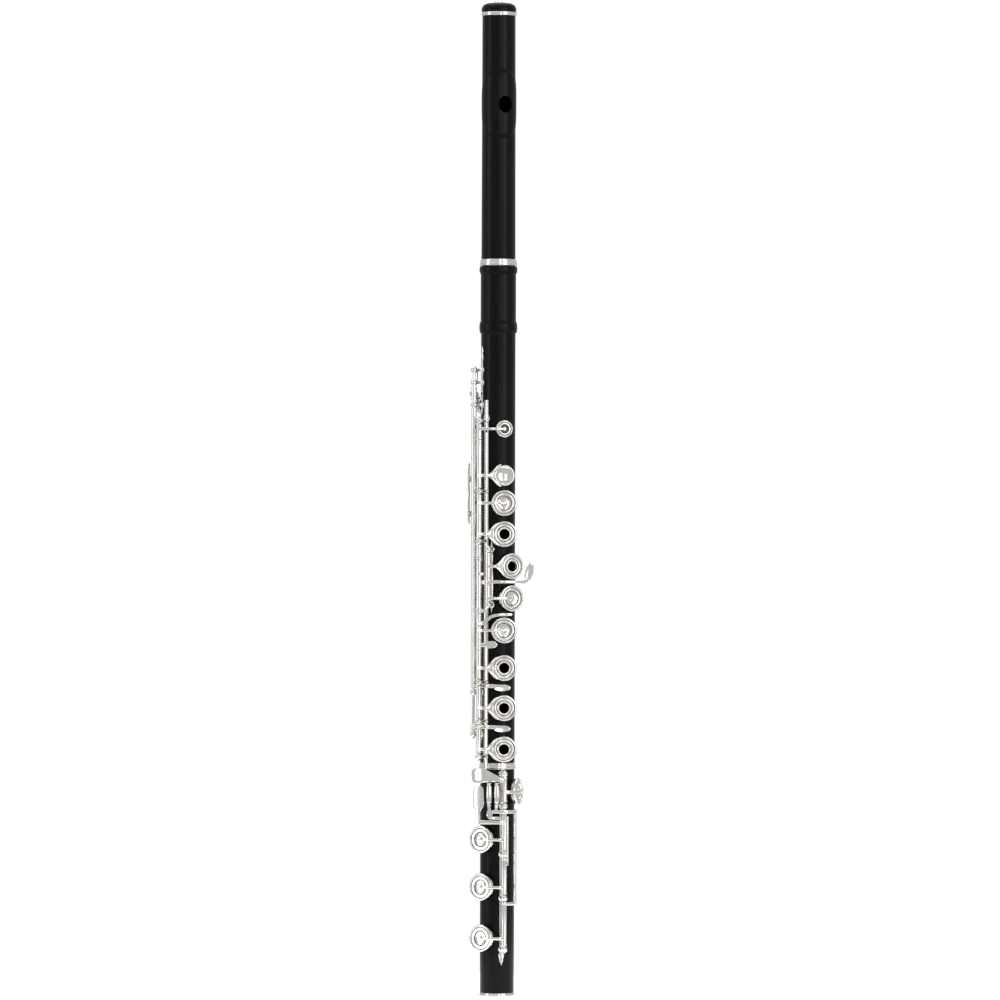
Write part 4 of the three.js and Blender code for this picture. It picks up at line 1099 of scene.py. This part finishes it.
def room():
    points = [(0.0, 0.0, FLOOR_Z)]
    faces = []
    for k in range(64):
        a = 2 * math.pi * k / 64
        points.append((FLOOR_R * math.cos(a), FLOOR_R * math.sin(a), FLOOR_Z))
    for k in range(64):
        faces.append((0, 1 + k, 1 + (k + 1) % 64))
    mesh = bpy.data.meshes.new("studio_floor")
    mesh.from_pydata(points, [], faces)
    for polygon in mesh.polygons:
        polygon.use_smooth = True
    material, tree, node = shader("studio_white", Roughness=0.9, Emission_Color=(1, 1, 1, 1),
                                  Emission_Strength=0.7)
    tone, _ = varied(tree, 2, grey(0.86), grey(0.9), 2)
    tree.links.new(tone, node.inputs["Base Color"])
    mesh.materials.append(material)
    obj = bpy.data.objects.new("studio_floor", mesh)
    bpy.context.scene.collection.objects.link(obj)
    obj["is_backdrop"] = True


def area_light(name, place, aim, size, power, colour=(1, 1, 1)):
    data = bpy.data.lights.new(name, "AREA")
    data.shape = "RECTANGLE"
    data.size, data.size_y = size
    data.energy = power
    data.color = colour
    light = bpy.data.objects.new(name, data)
    light.location = place
    light.rotation_mode = "QUATERNION"
    light.rotation_quaternion = (Vector(place) - Vector(aim)).to_track_quat("Z", "Y")
    bpy.context.scene.collection.objects.link(light)
    return light


def lights():
    world = bpy.data.worlds.new("studio")
    world.use_nodes = True
    tree = world.node_tree
    soft = tree.nodes["Background"]
    soft.inputs["Color"].default_value = (0.9, 0.92, 0.95, 1)
    soft.inputs["Strength"].default_value = SOFT_STRENGTH
    white = tree.nodes.new("ShaderNodeBackground")
    white.inputs["Color"].default_value = (1, 1, 1, 1)
    white.inputs["Strength"].default_value = 1.0
    path = tree.nodes.new("ShaderNodeLightPath")
    mix = tree.nodes.new("ShaderNodeMixShader")
    tree.links.new(path.outputs["Is Camera Ray"], mix.inputs["Fac"])
    tree.links.new(soft.outputs["Background"], mix.inputs[1])
    tree.links.new(white.outputs["Background"], mix.inputs[2])
    tree.links.new(mix.outputs["Shader"], tree.nodes["World Output"].inputs["Surface"])
    bpy.context.scene.world = world
    area_light("right_softbox", (2.0, -2.2, 0.8), (0, 0, 0.36), (1.3, 2.0), 17, (1.0, 0.97, 0.94))
    area_light("front_card", (0.75, -3.2, 0.9), (0, 0, 0.36), (0.5, 1.6), 6, (1.0, 0.98, 0.96))
    area_light("left_softbox", (-2.6, -1.0, 0.7), (0, 0, 0.36), (0.8, 1.8), 9, (1.0, 0.96, 0.95))
    area_light("top_softbox", (0.0, 0.8, 3.4), (0, 0.8, 0), (4.0, 4.0), 60)


def camera():
    low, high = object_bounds()
    data = bpy.data.cameras.new("camera")
    data.sensor_width = 36
    distance = 5.5
    frame_width = 0.72
    data.lens = 36 * distance / frame_width
    obj = bpy.data.objects.new("camera", data)
    middle_z = (low.z + high.z) / 2 - 0.0003
    obj.location = (0.0015, -distance, middle_z)
    obj.rotation_euler = (math.pi / 2, math.radians(CAMERA_ROLL), 0)
    bpy.context.scene.collection.objects.link(obj)
    bpy.context.scene.camera = obj


body_wood()
head_wood()
foot_wood()
rings()
crown()
stopper()
ribs()
steels()
front_keys()
c_sharp_key()
g_keys()
g_sharp_key()
split_e_lever()
b_flat_lever()
trill_keys()
thumb_keys()
foot_keys()
room()
lights()
camera()
bpy.context.scene.view_settings.view_transform = "Standard"
